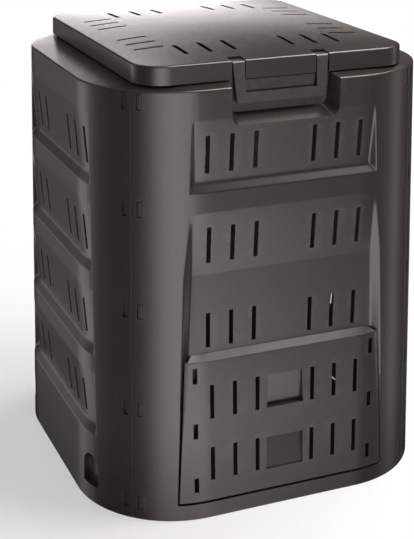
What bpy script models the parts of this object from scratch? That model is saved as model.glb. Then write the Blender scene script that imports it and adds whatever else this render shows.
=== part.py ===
"""Garden compost bin: four moulded wall panels, a hinged lid with a bail latch, and a sliding compost door.

Metres, +Z up. The front faces -Y and +X is to the viewer's right. The origin is on the ground, in the middle.
"""
from math import acos, asin, cos, pi, radians, sin

import bmesh
import bpy
from mathutils import Matrix, Vector

# Shell, outside sizes
body_width = 0.720
body_depth = 0.704
shell_height = 0.8275
width_taper = 0.058
depth_taper = 0.065
top_width = body_width - width_taper
top_depth = body_depth - depth_taper
base_corner_radius = 0.202
top_corner_radius = 0.177
wall_thickness = 0.0035
edge_round = 0.004
foot_width = 0.014
foot_round = 0.003
seam_turn_from_front = radians(42.6)
seam_gap = 0.0003
band_seam_gap = 0.0013
seam_strip = 0.003
corner_steps = 4
face_steps = 3

# Clearances and cuts
fit_gap = 0.0003
slide_gap = 0.0004
loose_gap = 0.0010
cut_overrun = 0.004
weld_gap = 0.00003

# Ventilation slots and the recessed fields that hold them
field_count = 4
field_top_drop = 0.053
lowest_field_height = 0.150
field_rib_height = 0.0355
field_top = shell_height - field_top_drop
field_pitch = (field_top - lowest_field_height + field_rib_height) / field_count
field_height = field_pitch - field_rib_height
field_ledge = 0.0155
field_depth = 0.012
field_tip = 0.002
draft_share = 0.8
front_lip_inset = 0.1524
front_lip_top = top_width / 2 - front_lip_inset
front_lip_flare_share = 0.0567
side_lip_inset = 0.130
side_lip_top = top_depth / 2 - side_lip_inset
side_lip_flare_share = 0.052
slot_width = 0.0085
slot_drop = 0.028
slot_rise = 0.0325
slot_length = field_height - slot_drop - slot_rise
slots_in_group = 3
front_slot_start = 0.0575
front_slot_margin = 0.0285
side_slot_start = 0.073
side_slot_margin = 0.0195
slot_pitch = (front_lip_top - front_slot_margin - front_slot_start) / (slots_in_group - 1)
side_slot_pitch = (side_lip_top - side_slot_margin - side_slot_start) / (slots_in_group - 1)

# Door bay in the front wall
bay_top_drop = 0.0015
bay_slope_height = 0.118
bay_top = field_top - field_pitch - bay_top_drop
bay_break = bay_top - bay_slope_height
bay_bottom = 0.0365
bay_ledge = 0.0035
bay_depth = 0.031
bay_plane = body_depth / 2 - bay_depth
bay_foot_inset = 0.1405
bay_break_draw = 0.0195
bay_top_draw = 0.0345
bay_break_draft = 0.0166
bay_foot_draft = 0.0145
bay_foot_half_width = body_width / 2 - bay_foot_inset
bay_break_half_width = bay_foot_half_width - bay_break_draw
bay_top_half_width = bay_foot_half_width - bay_top_draw
bay_floor_break_half_width = bay_break_half_width - bay_break_draft
bay_floor_foot_half_width = bay_foot_half_width - bay_foot_draft
bay_steps = 3
hatch_margin = 0.033
hatch_half_width = bay_floor_foot_half_width - hatch_margin
hatch_bottom = 0.050
hatch_top = 0.310
bay_slot_drop = 0.027
bay_slot_top = bay_top - bay_slot_drop
lower_slot_rise = 0.0345
lower_slot_top = hatch_top + lower_slot_rise + slot_length

# Guide hooks on the front wall and the lips they hold on the door
hook_height = 0.024
hook_stem = 0.003
hook_reach = 0.007
hook_head = 0.0024
hook_inset = 0.0015
lip_thickness = 0.002

# Corner joints: tongues on the side walls, windows in every wall
joint_heights_share = (0.0435, 0.2792, 0.5136, 0.7456, 0.9764)
window_height = 0.029
window_width = 0.010
window_offset = 0.0095
tongue_thickness = 0.003
tongue_root = 0.034
root_length = 0.012
tongue_steps = 3
tongue_height = 0.0247
tongue_end = 0.0055
pad_gap = 0.0012
tongue_gap = 0.0010

# Low arched pockets on the side walls
pocket_seam_inset = 0.1094
pocket_half_width = 0.0245
pocket_bottom = 0.037
pocket_height = 0.066
pocket_depth = 0.015
pocket_lap = 0.005
arch_steps = 6

# Lid
lid_side_inset = 0.069
lid_end_inset = 0.0258
lid_width = top_width - 2 * lid_side_inset
lid_depth = top_depth - 2 * lid_end_inset
lid_corner_radius = 0.055
lid_rim_rise = 0.0401
lid_rim_height = shell_height + lid_rim_rise
lid_crown = 0.0132
lid_skirt = 0.0328
lid_thickness = 0.003
lid_edge_round = 0.004
lid_draft = 0.001
lid_ring_shares = (0.3, 0.58, 0.82, 0.94)
lid_side_steps = 4
lid_corner_steps = 5
lid_slot_length = 0.070
lid_side_slot_length = 0.057
lid_slot_inset = 0.0695
lid_side_slot_inset = 0.0375
rib_place_share = 1.5
rib_offset = front_slot_start + rib_place_share * slot_pitch
rib_thickness = 0.0025
rib_depth = 0.012
rib_steps = 8

# Collar that stands inside the lid's skirt
collar_side_gap = 0.0045
collar_end_gap = 0.0052
collar_foot_rise = 0.006
collar_height = 0.0165

# Lid hinge at the rear
hinge_drop = 0.0221
hinge_setback = 0.0093
hinge_side_inset = 0.112
hinge_spread = lid_width / 2 - hinge_side_inset
knuckle_width = 0.030
knuckle_radius = 0.0075
web_half_height = 0.006
ear_width = 0.008
pin_radius = 0.0025
pin_head_radius = 0.0048
pin_head_length = 0.0022

# Bail latch
latch_half_width = 0.093
latch_foot_half_width = 0.0855
latch_window_half_width = 0.070
latch_foot_drop = 0.035
latch_foot_height = shell_height - latch_foot_drop
latch_bar_height = 0.018
latch_bar_depth = 0.0092
latch_bar_sink = 0.0005
latch_lean = 0.006
latch_arm = 0.005
latch_top_leg = 0.006
latch_top_inset = 0.0016
latch_corner = 0.0055
latch_tail = 0.0065
pivot_inset = 0.0147
pivot_drop = 0.0131
barrel_radius = 0.006
trunnion_radius = 0.003
trunnion_reach = 0.0078
lug_thickness = 0.0062
lug_depth = 0.0215
lug_drop = 0.0185
lid_notch_side = 0.0017
lid_notch_end = 0.013

# Latch notch in the front wall, with its keeper
notch_half_width = 0.107
notch_floor_drop = 0.068
notch_floor = shell_height - notch_floor_drop
notch_corner = 0.015
notch_flare = 0.0035
notch_depth = 0.0325
notch_back = top_depth / 2 - notch_depth
notch_mouth = top_depth / 2 + field_tip
notch_taper = 0.0085
notch_floor_rise = 0.0155
notch_steps = 4
keeper_half_width = 0.066
keeper_height = 0.021
keeper_lift = 0.002
keeper_reach = 0.0018

# Compost door
door_top = 0.326
door_top_fall = 0.008
door_bottom_gap = 0.0014
door_side_gap = 0.003
door_taper = 0.016
door_foot_half_width = bay_foot_half_width - door_side_gap
door_top_half_width = door_foot_half_width - door_taper
door_strip_start = 0.170
door_strip_width = 0.0085
door_strip_depth = 0.003
door_edge_break = 0.0008
door_skin = 0.0022
door_flange = 0.0025
door_box_inset = 0.005
door_box_draft = 0.012
door_box_front = door_top_half_width - door_box_inset
door_box_back = door_box_front - door_box_draft
door_flat_share = 0.66
door_upper_slot = 0.277
door_lower_slot = 0.149
door_window_inset = 0.011
door_window_centre = hatch_half_width + door_window_inset
door_window_width = 0.009
door_window_height = 0.0305
door_window_heights_share = (0.127, 0.517, 0.905)
grip_half_width = 0.0385
grip_narrow_half_width = 0.0350
grip_height = 0.068
grip_depth = 0.011
grip_upper_top = 0.277
grip_lower_top = 0.147
grip_edge = 0.002

quarter_turn = pi / 2
eighth_turn = pi / 4


def clear_scene():
    for obj in list(bpy.data.objects):
        bpy.data.objects.remove(obj, do_unlink=True)


def make_collection(name):
    collection = bpy.data.collections.new(name)
    bpy.context.scene.collection.children.link(collection)
    return collection


def make_material(name, colour, roughness, metallic=0.0):
    material = bpy.data.materials.new(name)
    material.use_nodes = True
    shader = material.node_tree.nodes["Principled BSDF"]
    shader.inputs["Base Color"].default_value = (*colour, 1.0)
    shader.inputs["Roughness"].default_value = roughness
    shader.inputs["Metallic"].default_value = metallic
    material.diffuse_color = (*colour, 1.0)
    return material


clear_scene()
parts = make_collection("garden_compost_bin")
cutters = make_collection("cutters")
wall_plastic = make_material("wall_plastic", (0.058, 0.054, 0.051), 0.46)
lid_plastic = make_material("lid_plastic", (0.066, 0.062, 0.059), 0.40)
latch_plastic = make_material("latch_plastic", (0.056, 0.053, 0.050), 0.44)
door_plastic = make_material("door_plastic", (0.064, 0.060, 0.057), 0.46)
pin_plastic = make_material("pin_plastic", (0.030, 0.029, 0.028), 0.38)


def lerp(low, high, share):
    return low + (high - low) * share


# Mesh helpers

def mesh_object(name, bm, collection, turn=0.0):
    bmesh.ops.recalc_face_normals(bm, faces=bm.faces)
    mesh = bpy.data.meshes.new(name)
    bm.to_mesh(mesh)
    bm.free()
    obj = bpy.data.objects.new(name, mesh)
    obj.rotation_euler.z = turn
    collection.objects.link(obj)
    if collection is cutters:
        obj.hide_render = True
        obj.display_type = "WIRE"
    return obj


def add_sheet(bm, rows):
    """Skin a grid of points: rows of equal length, joined by quads."""
    grid = [[bm.verts.new(point) for point in row] for row in rows]
    for low, high in zip(grid, grid[1:]):
        for i in range(len(low) - 1):
            bm.faces.new((low[i], low[i + 1], high[i + 1], high[i]))
    return grid


def add_slab(bm, front_rows, back_rows):
    """Close the space between two grids of the same size."""
    front = add_sheet(bm, front_rows)
    back = add_sheet(bm, back_rows)
    rim_front = front[0] + [row[-1] for row in front[1:-1]] + front[-1][::-1]
    rim_front += [row[0] for row in front[-2:0:-1]]
    rim_back = back[0] + [row[-1] for row in back[1:-1]] + back[-1][::-1]
    rim_back += [row[0] for row in back[-2:0:-1]]
    count = len(rim_front)
    for i in range(count):
        j = (i + 1) % count
        bm.faces.new((rim_front[i], rim_front[j], rim_back[j], rim_back[i]))


def add_loft(bm, sections):
    """Close a solid through outlines of the same number of points."""
    rings = [[bm.verts.new(point) for point in section] for section in sections]
    count = len(rings[0])
    for low, high in zip(rings, rings[1:]):
        for i in range(count):
            j = (i + 1) % count
            bm.faces.new((low[i], low[j], high[j], high[i]))
    bm.faces.new(rings[0])
    bm.faces.new(rings[-1])


def add_box(bm, low, high):
    centre = (Vector(low) + Vector(high)) / 2
    size = Vector(high) - Vector(low)
    place = Matrix.Translation(centre) @ Matrix.Diagonal((*size, 1.0))
    bmesh.ops.create_cube(bm, size=1.0, matrix=place)


def add_rod(bm, start, end, radius, segments=20):
    """A cylinder along X."""
    centre = (Vector(start) + Vector(end)) / 2
    length = (Vector(end) - Vector(start)).length
    place = Matrix.Translation(centre) @ Matrix.Rotation(quarter_turn, 4, "Y")
    bmesh.ops.create_cone(
        bm, cap_ends=True, segments=segments, radius1=radius, radius2=radius, depth=length, matrix=place)


def combine(obj, tool, operation):
    modifier = obj.modifiers.new(tool.name, "BOOLEAN")
    modifier.operation = operation
    modifier.object = tool
    modifier.solver = "EXACT"


def tool_object(name, build, turn=0.0):
    """A cutter or an added lump, built by a function that fills a bmesh."""
    bm = bmesh.new()
    build(bm)
    return mesh_object(name, bm, cutters, turn)


def finish_piece(obj, material, smooth_angle=0.6):
    obj.data.materials.append(material)
    obj.data.shade_smooth()
    obj.data.set_sharp_from_angle(angle=smooth_angle)


# Plan outline of the shell

def outline_point(run, half_across, half_out, radius, z, depth=0.0):
    """A point `run` along a rounded square from the middle of its front side, `depth` inside it."""
    side = 1 if run >= 0 else -1
    flat = half_across - radius
    past = abs(run) - flat
    if past <= 0:
        return Vector((run, depth - half_out, z))
    turn = past / radius
    reach = radius - depth
    return Vector((side * (flat + reach * sin(turn)), radius - half_out - reach * cos(turn), z))


def corner_radius(z):
    return lerp(base_corner_radius, top_corner_radius, z / shell_height)


class Panel:
    """One wall in its own frame: across runs along X and outward is -Y, then the wall turns about Z."""

    def __init__(self, name, turn, seam_turn, across, out, collar, lip_top, lip_flare_share, slot_start, pitch):
        self.name = name
        self.turn = turn
        self.seam_turn = seam_turn
        self.base_across, self.top_across = across
        self.base_out, self.top_out = out
        self.collar_across, self.collar_out = collar
        self.lip_top = lip_top
        self.lip_flare_share = lip_flare_share
        self.slot_start = slot_start
        self.pitch = pitch

    def half_across(self, z):
        return lerp(self.base_across, self.top_across, z / shell_height) / 2

    def half_out(self, z):
        return lerp(self.base_out, self.top_out, z / shell_height) / 2

    def flat(self, z):
        return self.half_across(z) - corner_radius(z)

    def seam_run(self, z):
        return self.flat(z) + corner_radius(z) * self.seam_turn

    def run_at(self, x, z):
        past = x - self.flat(z)
        if past <= 0:
            return x
        return self.flat(z) + corner_radius(z) * asin(past / corner_radius(z))

    def lip(self, z):
        """Half the width of the recessed fields at the wall's face."""
        return self.lip_top + (field_top - z) * self.lip_flare_share

    def point(self, run, z, depth=0.0):
        return outline_point(run, self.half_across(z), self.half_out(z), corner_radius(z), z, depth)

    def slot_places(self):
        """Centres of the six slots across the wall."""
        right = [self.slot_start + i * self.pitch for i in range(slots_in_group)]
        return [-x for x in reversed(right)] + right

    def columns(self, z, lip, inset, gap=seam_gap):
        """Runs from the flat's end to the seam; a field's floor ends `inset` inside its lip."""
        lip = self.run_at(lip, z)
        floor = lip - inset
        flat = min(self.flat(z), floor - field_tip)
        end = self.seam_run(z) - gap / 2
        face = [lerp(flat, floor, i / face_steps) for i in range(face_steps + 1)]
        arc = [lerp(lip, end - seam_strip, i / corner_steps) for i in range(corner_steps + 1)]
        return face + arc + [end]

    def mirrored(self, half):
        return [Vector((-p.x, p.y, p.z)) for p in reversed(half)] + half

    def row(self, z, sunk=0.0):
        """Points across the wall; `sunk` lowers a field's floor."""
        lip = self.lip(z)
        inset = max(sunk * draft_share, field_tip)
        half = []
        for place, run in enumerate(self.columns(z, lip, inset)):
            half.append(self.point(run, z, sunk if place <= face_steps else 0.0))
        return self.mirrored(half)

    def bay_row(self, z, lip, floor):
        """Points across the wall where the floor is upright and the same distance out at every height."""
        half = []
        for place, run in enumerate(self.columns(z, lip, lip - floor)):
            point = self.point(run, z)
            if place <= face_steps:
                point.y = -bay_plane
            half.append(point)
        return self.mirrored(half)

    def flush_row(self, z, lip):
        return self.mirrored([self.point(run, z) for run in self.columns(z, lip, field_tip)])

    def rounded_row(self, z, depth, gap=seam_gap):
        columns = self.columns(z, self.lip(z), field_tip, gap)
        return self.mirrored([self.point(run, z, depth) for run in columns])

    def collar_row(self, z):
        """Points along the collar that stands inside the lid's skirt."""
        top = shell_height
        radius = lid_corner_radius - lid_thickness - collar_side_gap
        half_across = self.collar_across / 2
        half_out = self.collar_out / 2
        whole = half_across - radius + radius * self.seam_turn
        half = []
        for run in self.columns(top, self.lip(top), field_tip, band_seam_gap):
            inner_run = whole * run / self.seam_run(top)
            half.append(outline_point(inner_run, half_across, half_out, radius, z))
        return self.mirrored(half)

    def top_rows(self):
        """The rounded top edge, the band that rises to the collar, and the collar itself."""
        half_round = edge_round * (1 - cos(eighth_turn))
        rows = [self.row(shell_height - edge_round)]
        rows.append(self.rounded_row(shell_height - half_round, half_round))
        rows.append(self.rounded_row(shell_height, edge_round, band_seam_gap))
        rows.append(self.collar_row(shell_height + collar_foot_rise))
        rows.append(self.collar_row(shell_height + collar_foot_rise + collar_height))
        return rows

    def foot_rows(self):
        """The flange that the bin stands on and the rounded edge round it."""
        half_round = foot_round * (1 - cos(eighth_turn))
        rows = [self.rounded_row(0.0, foot_width), self.rounded_row(0.0, foot_round)]
        rows.append(self.rounded_row(half_round, half_round))
        rows.append(self.rounded_row(foot_round, 0.0))
        return rows

    def field_rows(self, top):
        """Ledge, floor foot and top edge of one recessed field, from the bottom up."""
        bottom = top - field_height
        return [self.row(bottom), self.row(bottom + field_ledge, field_depth), self.row(top)]

    def bent_box(self, bm, side, offsets, heights, depths, steps=1):
        """A block that follows the wall's curve, placed by its distance past the seam."""
        spread = [lerp(offsets[0], offsets[1], i / steps) for i in range(steps + 1)]

        def layer(depth):
            return [[self.point(side * (self.seam_run(z) + offset), z, depth) for offset in spread]
                    for z in heights]
        add_slab(bm, layer(depths[0]), layer(depths[1]))


# Walls

def build_shell(panel, rows):
    bm = bmesh.new()
    add_sheet(bm, rows)
    obj = mesh_object(panel.name, bm, parts, panel.turn)
    shell = obj.modifiers.new("thickness", "SOLIDIFY")
    shell.thickness = wall_thickness
    shell.offset = -1.0
    shell.use_even_offset = True
    return obj


def joint_places():
    return [share * shell_height for share in joint_heights_share]


def joint_span(centre, height):
    return (centre - height / 2, centre + height / 2)


def cut_joint_windows(panel, wall):
    """Five windows beside each seam."""
    def build(bm):
        offsets = (-window_offset - window_width, -window_offset)
        depths = (-cut_overrun, wall_thickness + cut_overrun)
        for centre in joint_places():
            for side in (-1, 1):
                panel.bent_box(bm, side, offsets, joint_span(centre, window_height), depths)
    combine(wall, tool_object(panel.name + "_windows", build, panel.turn), "DIFFERENCE")


def add_joint_tongues(panel, wall):
    """Snap tongues that run behind the next wall and stand in its windows."""
    front_face = wall_thickness + tongue_gap
    back = front_face + tongue_thickness
    root = (-tongue_root, root_length - tongue_root)
    reach = (root_length / 2 - tongue_root, window_offset + window_width + tongue_end)
    pad = (window_offset + pad_gap, window_offset + window_width - pad_gap)

    def build(bm):
        for centre in joint_places():
            pad_span = joint_span(centre, window_height - 2 * pad_gap)
            tongue_span = (pad_span[1] - tongue_height, pad_span[1])
            for side in (-1, 1):
                panel.bent_box(bm, side, root, tongue_span, (wall_thickness / 2, back))
                panel.bent_box(bm, side, reach, tongue_span, (front_face, back), tongue_steps)
                panel.bent_box(bm, side, pad, pad_span, (slide_gap, back - tongue_thickness / 2))
    combine(wall, tool_object(panel.name + "_tongues", build, panel.turn), "UNION")
    wall.modifiers[-1].use_self = True


def cut_slots(panel, wall, tops, places):
    """Upright slots through the floor of each field."""
    def build(bm):
        for top in tops:
            bottom = top - slot_length
            before = -panel.half_out(bottom) - cut_overrun
            floor = min(panel.half_out(top) - field_depth, bay_plane)
            behind = wall_thickness + 2 * cut_overrun - floor
            for x in places:
                add_box(bm, (x - slot_width / 2, before, bottom), (x + slot_width / 2, behind, top))
    combine(wall, tool_object(panel.name + "_slots", build, panel.turn), "DIFFERENCE")


def arch_outline(half_width, bottom, height, grow):
    """An arch seen from outside, as (across, z) points, grown on every side."""
    radius = half_width + grow
    spring = bottom + height - half_width
    points = [(-radius, bottom - grow), (radius, bottom - grow)]
    for i in range(arch_steps + 1):
        turn = pi * i / arch_steps
        points.append((radius * cos(turn), spring + radius * sin(turn)))
    return points


def add_pockets(panel, wall):
    """A blind arched pocket low at each end of the wall."""
    z = pocket_bottom
    outline = arch_outline(pocket_half_width, pocket_bottom, pocket_height, 0.0)
    grown = arch_outline(pocket_half_width, pocket_bottom, pocket_height, wall_thickness)

    def section(points, side, depth):
        run = side * (panel.seam_run(z) - pocket_seam_inset)
        base = panel.point(run, z, 0.0)
        inward = panel.point(run, z, pocket_depth) - base
        inward.normalize()
        across = Vector((-inward.y, inward.x, 0.0)) * -1
        foot = Vector((base.x, base.y, 0.0)) + inward * depth
        return [foot + across * x + Vector((0, 0, h)) for x, h in points]

    def build_shell_block(bm):
        for side in (-1, 1):
            start = section(grown, side, pocket_lap)
            add_loft(bm, [start, section(grown, side, pocket_depth + wall_thickness)])

    def build_cut(bm):
        for side in (-1, 1):
            add_loft(bm, [section(outline, side, -pocket_depth), section(outline, side, pocket_depth)])

    combine(wall, tool_object(panel.name + "_pocket_shells", build_shell_block, panel.turn), "UNION")
    combine(wall, tool_object(panel.name + "_pockets", build_cut, panel.turn), "DIFFERENCE")


def field_tops():
    return [field_top - i * field_pitch for i in range(field_count)]


def plain_wall(panel):
    """A wall with four recessed fields, one above another."""
    rows = panel.foot_rows()
    for top in reversed(field_tops()):
        rows += panel.field_rows(top)
    rows += panel.top_rows()
    return build_shell(panel, rows)


def side_wall(panel):
    wall = plain_wall(panel)
    add_pockets(panel, wall)
    cut_joint_windows(panel, wall)
    add_joint_tongues(panel, wall)
    cut_slots(panel, wall, [top - slot_drop for top in field_tops()], panel.slot_places())
    finish_piece(wall, wall_plastic)
    return wall


hinge_height = lid_rim_height - hinge_drop
hinge_out = lid_depth / 2 + hinge_setback


def rear_wall(panel):
    """The rear wall carries the ears of both lid hinges on its top band."""
    wall = plain_wall(panel)
    cut_joint_windows(panel, wall)
    cut_slots(panel, wall, [top - slot_drop for top in field_tops()], panel.slot_places())
    ear_base = shell_height + collar_foot_rise / 2 - wall_thickness / 2

    def ear_spans():
        for centre in (-hinge_spread, hinge_spread):
            for side in (-1, 1):
                near = centre + side * (knuckle_width / 2 + loose_gap / 2)
                yield sorted((near, near + side * ear_width))

    def build_ears(bm):
        for low, high in ear_spans():
            add_rod(bm, (low, -hinge_out, hinge_height), (high, -hinge_out, hinge_height), knuckle_radius)

    def build_feet(bm):
        for low, high in ear_spans():
            near = knuckle_radius - hinge_out
            add_box(bm, (low, -hinge_out - knuckle_radius, ear_base), (high, near, hinge_height))

    def build_bores(bm):
        for low, high in ear_spans():
            start = (low - cut_overrun / 2, -hinge_out, hinge_height)
            end = (high + cut_overrun / 2, -hinge_out, hinge_height)
            add_rod(bm, start, end, pin_radius + fit_gap)

    combine(wall, tool_object("ear_rounds", build_ears, panel.turn), "UNION")
    combine(wall, tool_object("ear_feet", build_feet, panel.turn), "UNION")
    combine(wall, tool_object("ear_bores", build_bores, panel.turn), "DIFFERENCE")
    finish_piece(wall, wall_plastic)
    return wall


# Front wall

def notch_outline(half_width, floor, corner, flare, top, y):
    """The latch notch seen from the front: open at the top, round at its lower corners."""
    points = []
    for side in (1, -1):
        arc = []
        for i in range(notch_steps + 1):
            turn = quarter_turn * i / notch_steps
            x = half_width - flare - corner + corner * cos(turn)
            arc.append(Vector((side * x, y, floor + corner - corner * sin(turn))))
        edge = [Vector((side * half_width, y, top))] + arc
        points += edge if side > 0 else edge[::-1]
    return points


def add_notch(panel, wall):
    """A pocket for the fingers and the bail, with walls of its own, open through the top band."""
    band_share = (notch_mouth - notch_back) / notch_mouth
    mouth_top = shell_height - wall_thickness / 2
    back_top = shell_height + collar_foot_rise - wall_thickness / 2

    def mouth(grow, top, y):
        return notch_outline(
            notch_half_width + grow, notch_floor - grow, notch_corner + grow, notch_flare, top, y)

    def back(grow, top, y):
        return notch_outline(
            notch_half_width - notch_taper + grow, notch_floor + notch_floor_rise - grow,
            notch_corner + grow - notch_corner * band_share, notch_flare, top, y)

    def build_walls(bm):
        front = wall_thickness / 2 - panel.half_out(shell_height)
        behind = wall_thickness - notch_back
        add_loft(bm, [mouth(wall_thickness, mouth_top, front), back(wall_thickness, back_top, behind)])

    def build_cut(bm):
        top = shell_height + collar_foot_rise + collar_height
        outside = -body_depth / 2
        add_loft(bm, [mouth(0, top, outside), mouth(0, top, -notch_mouth), back(0, top, -notch_back)])

    combine(wall, tool_object("notch_walls", build_walls, panel.turn), "UNION")
    combine(wall, tool_object("notch_cut", build_cut, panel.turn), "DIFFERENCE")


def add_keeper(panel, wall):
    """The tab that the bail closes over, just above its bar."""
    bottom = latch_foot_height + latch_bar_height + keeper_lift

    def build(bm):
        low = (-keeper_half_width, -notch_back - keeper_reach, bottom)
        high = (keeper_half_width, wall_thickness / 2 - notch_back, bottom + keeper_height)
        add_box(bm, low, high)
    combine(wall, tool_object("keeper", build, panel.turn), "UNION")


def cut_latch_relief(panel, wall):
    """Two gaps in the collar for the lugs and barrels of the bail."""
    bottom = lid_rim_height - lid_thickness / 2 - lug_drop - 2 * loose_gap
    top = shell_height + collar_foot_rise + collar_height + cut_overrun
    near = latch_window_half_width - lid_notch_side - lug_thickness - 2 * loose_gap
    far = latch_half_width + lid_notch_side + lug_thickness + 2 * loose_gap
    behind = wall_thickness + cut_overrun - panel.collar_out / 2

    def build(bm):
        for side in (-1, 1):
            low, high = sorted((side * near, side * far))
            add_box(bm, (low, -notch_back - cut_overrun, bottom), (high, behind, top))
    combine(wall, tool_object("latch_relief", build, panel.turn), "DIFFERENCE")


def hook_places():
    height = door_top - bay_bottom
    return [bay_bottom + share * height for share in door_window_heights_share]


hook_start = hatch_half_width + hook_inset


def add_door_hooks(panel, wall):
    """Six L-shaped hooks on the bay's floor that hold the door's lips and let it slide."""
    head_near = slide_gap + lip_thickness + 2 * slide_gap

    def build(bm):
        for centre in hook_places():
            low_z, high_z = joint_span(centre, hook_height)
            for side in (-1, 1):
                stem = sorted((side * hook_start, side * (hook_start + hook_stem)))
                head = sorted((side * hook_start, side * (hook_start + hook_reach)))
                root_y = wall_thickness / 2 - bay_plane
                near_y = -bay_plane - head_near
                far_y = near_y - hook_head
                add_box(bm, (stem[0], far_y, low_z), (stem[1], root_y, high_z))
                add_box(bm, (head[0], far_y, low_z), (head[1], near_y, high_z))
    combine(wall, tool_object("door_hooks", build, panel.turn), "UNION")
    wall.modifiers[-1].use_self = True


def front_wall(panel):
    rows = panel.foot_rows()
    rows.append(panel.flush_row(bay_bottom - bay_ledge, bay_foot_half_width))
    for share in [i / bay_steps for i in range(bay_steps + 1)]:
        lip = lerp(bay_foot_half_width, bay_break_half_width, share)
        floor = lerp(bay_floor_foot_half_width, bay_floor_break_half_width, share)
        rows.append(panel.bay_row(lerp(bay_bottom, bay_break, share), lip, floor))
    rows.append(panel.flush_row(bay_top, bay_top_half_width))
    rows += panel.field_rows(field_top)
    rows += panel.top_rows()
    wall = build_shell(panel, rows)
    add_notch(panel, wall)
    add_keeper(panel, wall)
    cut_latch_relief(panel, wall)

    def build_hatch(bm):
        behind = wall_thickness + cut_overrun - bay_plane
        add_box(bm, (-hatch_half_width, -body_depth / 2, hatch_bottom), (hatch_half_width, behind, hatch_top))

    combine(wall, tool_object("hatch", build_hatch, panel.turn), "DIFFERENCE")
    cut_joint_windows(panel, wall)
    tops = [field_top - slot_drop, bay_slot_top, lower_slot_top]
    cut_slots(panel, wall, tops, panel.slot_places())
    add_door_hooks(panel, wall)
    finish_piece(wall, wall_plastic)
    return wall


collar_width = lid_width - 2 * (lid_thickness + collar_side_gap)
collar_depth = lid_depth - 2 * (lid_thickness + collar_end_gap)
widths = (body_width, top_width)
depths = (body_depth, top_depth)
end_collar = (collar_width, collar_depth)
side_collar = (collar_depth, collar_width)
end_fields = (front_lip_top, front_lip_flare_share, front_slot_start, slot_pitch)
side_fields = (side_lip_top, side_lip_flare_share, side_slot_start, side_slot_pitch)
end_seam = seam_turn_from_front
side_seam = quarter_turn - seam_turn_from_front
front = Panel("front_wall", 0.0, end_seam, widths, depths, end_collar, *end_fields)
rear = Panel("rear_wall", pi, end_seam, widths, depths, end_collar, *end_fields)
left = Panel("left_wall", -quarter_turn, side_seam, depths, widths, side_collar, *side_fields)
right = Panel("right_wall", quarter_turn, side_seam, depths, widths, side_collar, *side_fields)


# Lid

def rounded_rectangle(half_x, half_y, radius):
    """Points round a rectangle, with extra points along its sides."""
    points = []
    corners = ((1, 1, 0), (-1, 1, 1), (-1, -1, 2), (1, -1, 3))
    for sx, sy, quarter in corners:
        centre = Vector((sx * (half_x - radius), sy * (half_y - radius)))
        arc = []
        for i in range(lid_corner_steps + 1):
            turn = quarter_turn * (quarter + i / lid_corner_steps)
            arc.append(centre + radius * Vector((cos(turn), sin(turn))))
        if points:
            start = points[-1]
            points += [start.lerp(arc[0], i / lid_side_steps) for i in range(1, lid_side_steps)]
        points += arc
    first, last = points[0], points[-1]
    points += [last.lerp(first, i / lid_side_steps) for i in range(1, lid_side_steps)]
    return points


def crown_height(x, y):
    """Height of the lid's outer face over its rim."""
    share_x = min(abs(x) / (lid_width / 2), 1.0)
    share_y = min(abs(y) / (lid_depth / 2), 1.0)
    return lid_crown * (1 - share_x ** 2) * (1 - share_y ** 2)


def lid_surface(x, y):
    return lid_rim_height + crown_height(x, y)


def lid_ring(inset, drop, grow=0.0):
    half_x = lid_width / 2 - inset + grow
    half_y = lid_depth / 2 - inset + grow
    points = rounded_rectangle(half_x, half_y, lid_corner_radius - inset + grow)
    return [Vector((p.x, p.y, lid_surface(p.x, p.y) - drop)) for p in points]


def lid_shell():
    inner = lid_edge_round
    outline = rounded_rectangle(lid_width / 2 - inner, lid_depth / 2 - inner, lid_corner_radius - inner)
    rings = []
    for share in lid_ring_shares:
        inner_outline = [point * share for point in outline]
        rings.append([Vector((p.x, p.y, lid_surface(p.x, p.y))) for p in inner_outline])
    rings.append([Vector((p.x, p.y, lid_surface(p.x, p.y))) for p in outline])
    half_round = lid_edge_round * (1 - cos(eighth_turn))
    rings.append(lid_ring(half_round, half_round))
    rings.append(lid_ring(0.0, lid_edge_round))
    foot = [Vector((p.x, p.y, lid_rim_height - lid_skirt)) for p in lid_ring(0.0, 0.0, lid_draft)]
    rings.append(foot)
    bm = bmesh.new()
    closed = [ring + ring[:1] for ring in rings]
    add_sheet(bm, closed)
    middle = bm.verts.new((0.0, 0.0, lid_surface(0.0, 0.0)))
    bmesh.ops.remove_doubles(bm, verts=bm.verts, dist=weld_gap)
    bm.verts.ensure_lookup_table()
    hub = [vert for vert in bm.verts if vert.is_boundary and vert.co.z > lid_rim_height]
    hub.sort(key=lambda vert: -angle_of(vert.co))
    for one, two in zip(hub, hub[1:] + hub[:1]):
        bm.faces.new((one, two, middle))
    return bm


def angle_of(point):
    """Angle of a point round Z, from 0 to a full turn."""
    turn = acos(max(-1.0, min(1.0, point.x / point.xy.length)))
    return turn if point.y >= 0 else 2 * pi - turn


def lid_rib(bm, start, end):
    """A rib under the lid that follows its crown, upright, from one (x, y) point to another."""
    across = Vector((start[1] - end[1], end[0] - start[0])).normalized() * rib_thickness / 2
    near, far = [], []
    for share in [i / rib_steps for i in range(rib_steps + 1)]:
        place = Vector(start).lerp(Vector(end), share)
        top = lid_surface(place.x, place.y) - lid_thickness / 2
        for side, rows in ((1, near), (-1, far)):
            x, y = place + across * side
            rows.append((Vector((x, y, top - rib_depth)), Vector((x, y, top))))
    add_slab(bm, [[low for low, high in near], [high for low, high in near]],
             [[low for low, high in far], [high for low, high in far]])


pivot_out = lid_depth / 2 - pivot_inset
pivot_height = lid_rim_height - pivot_drop
arm_inner = latch_window_half_width
arm_outer = latch_half_width


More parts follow.
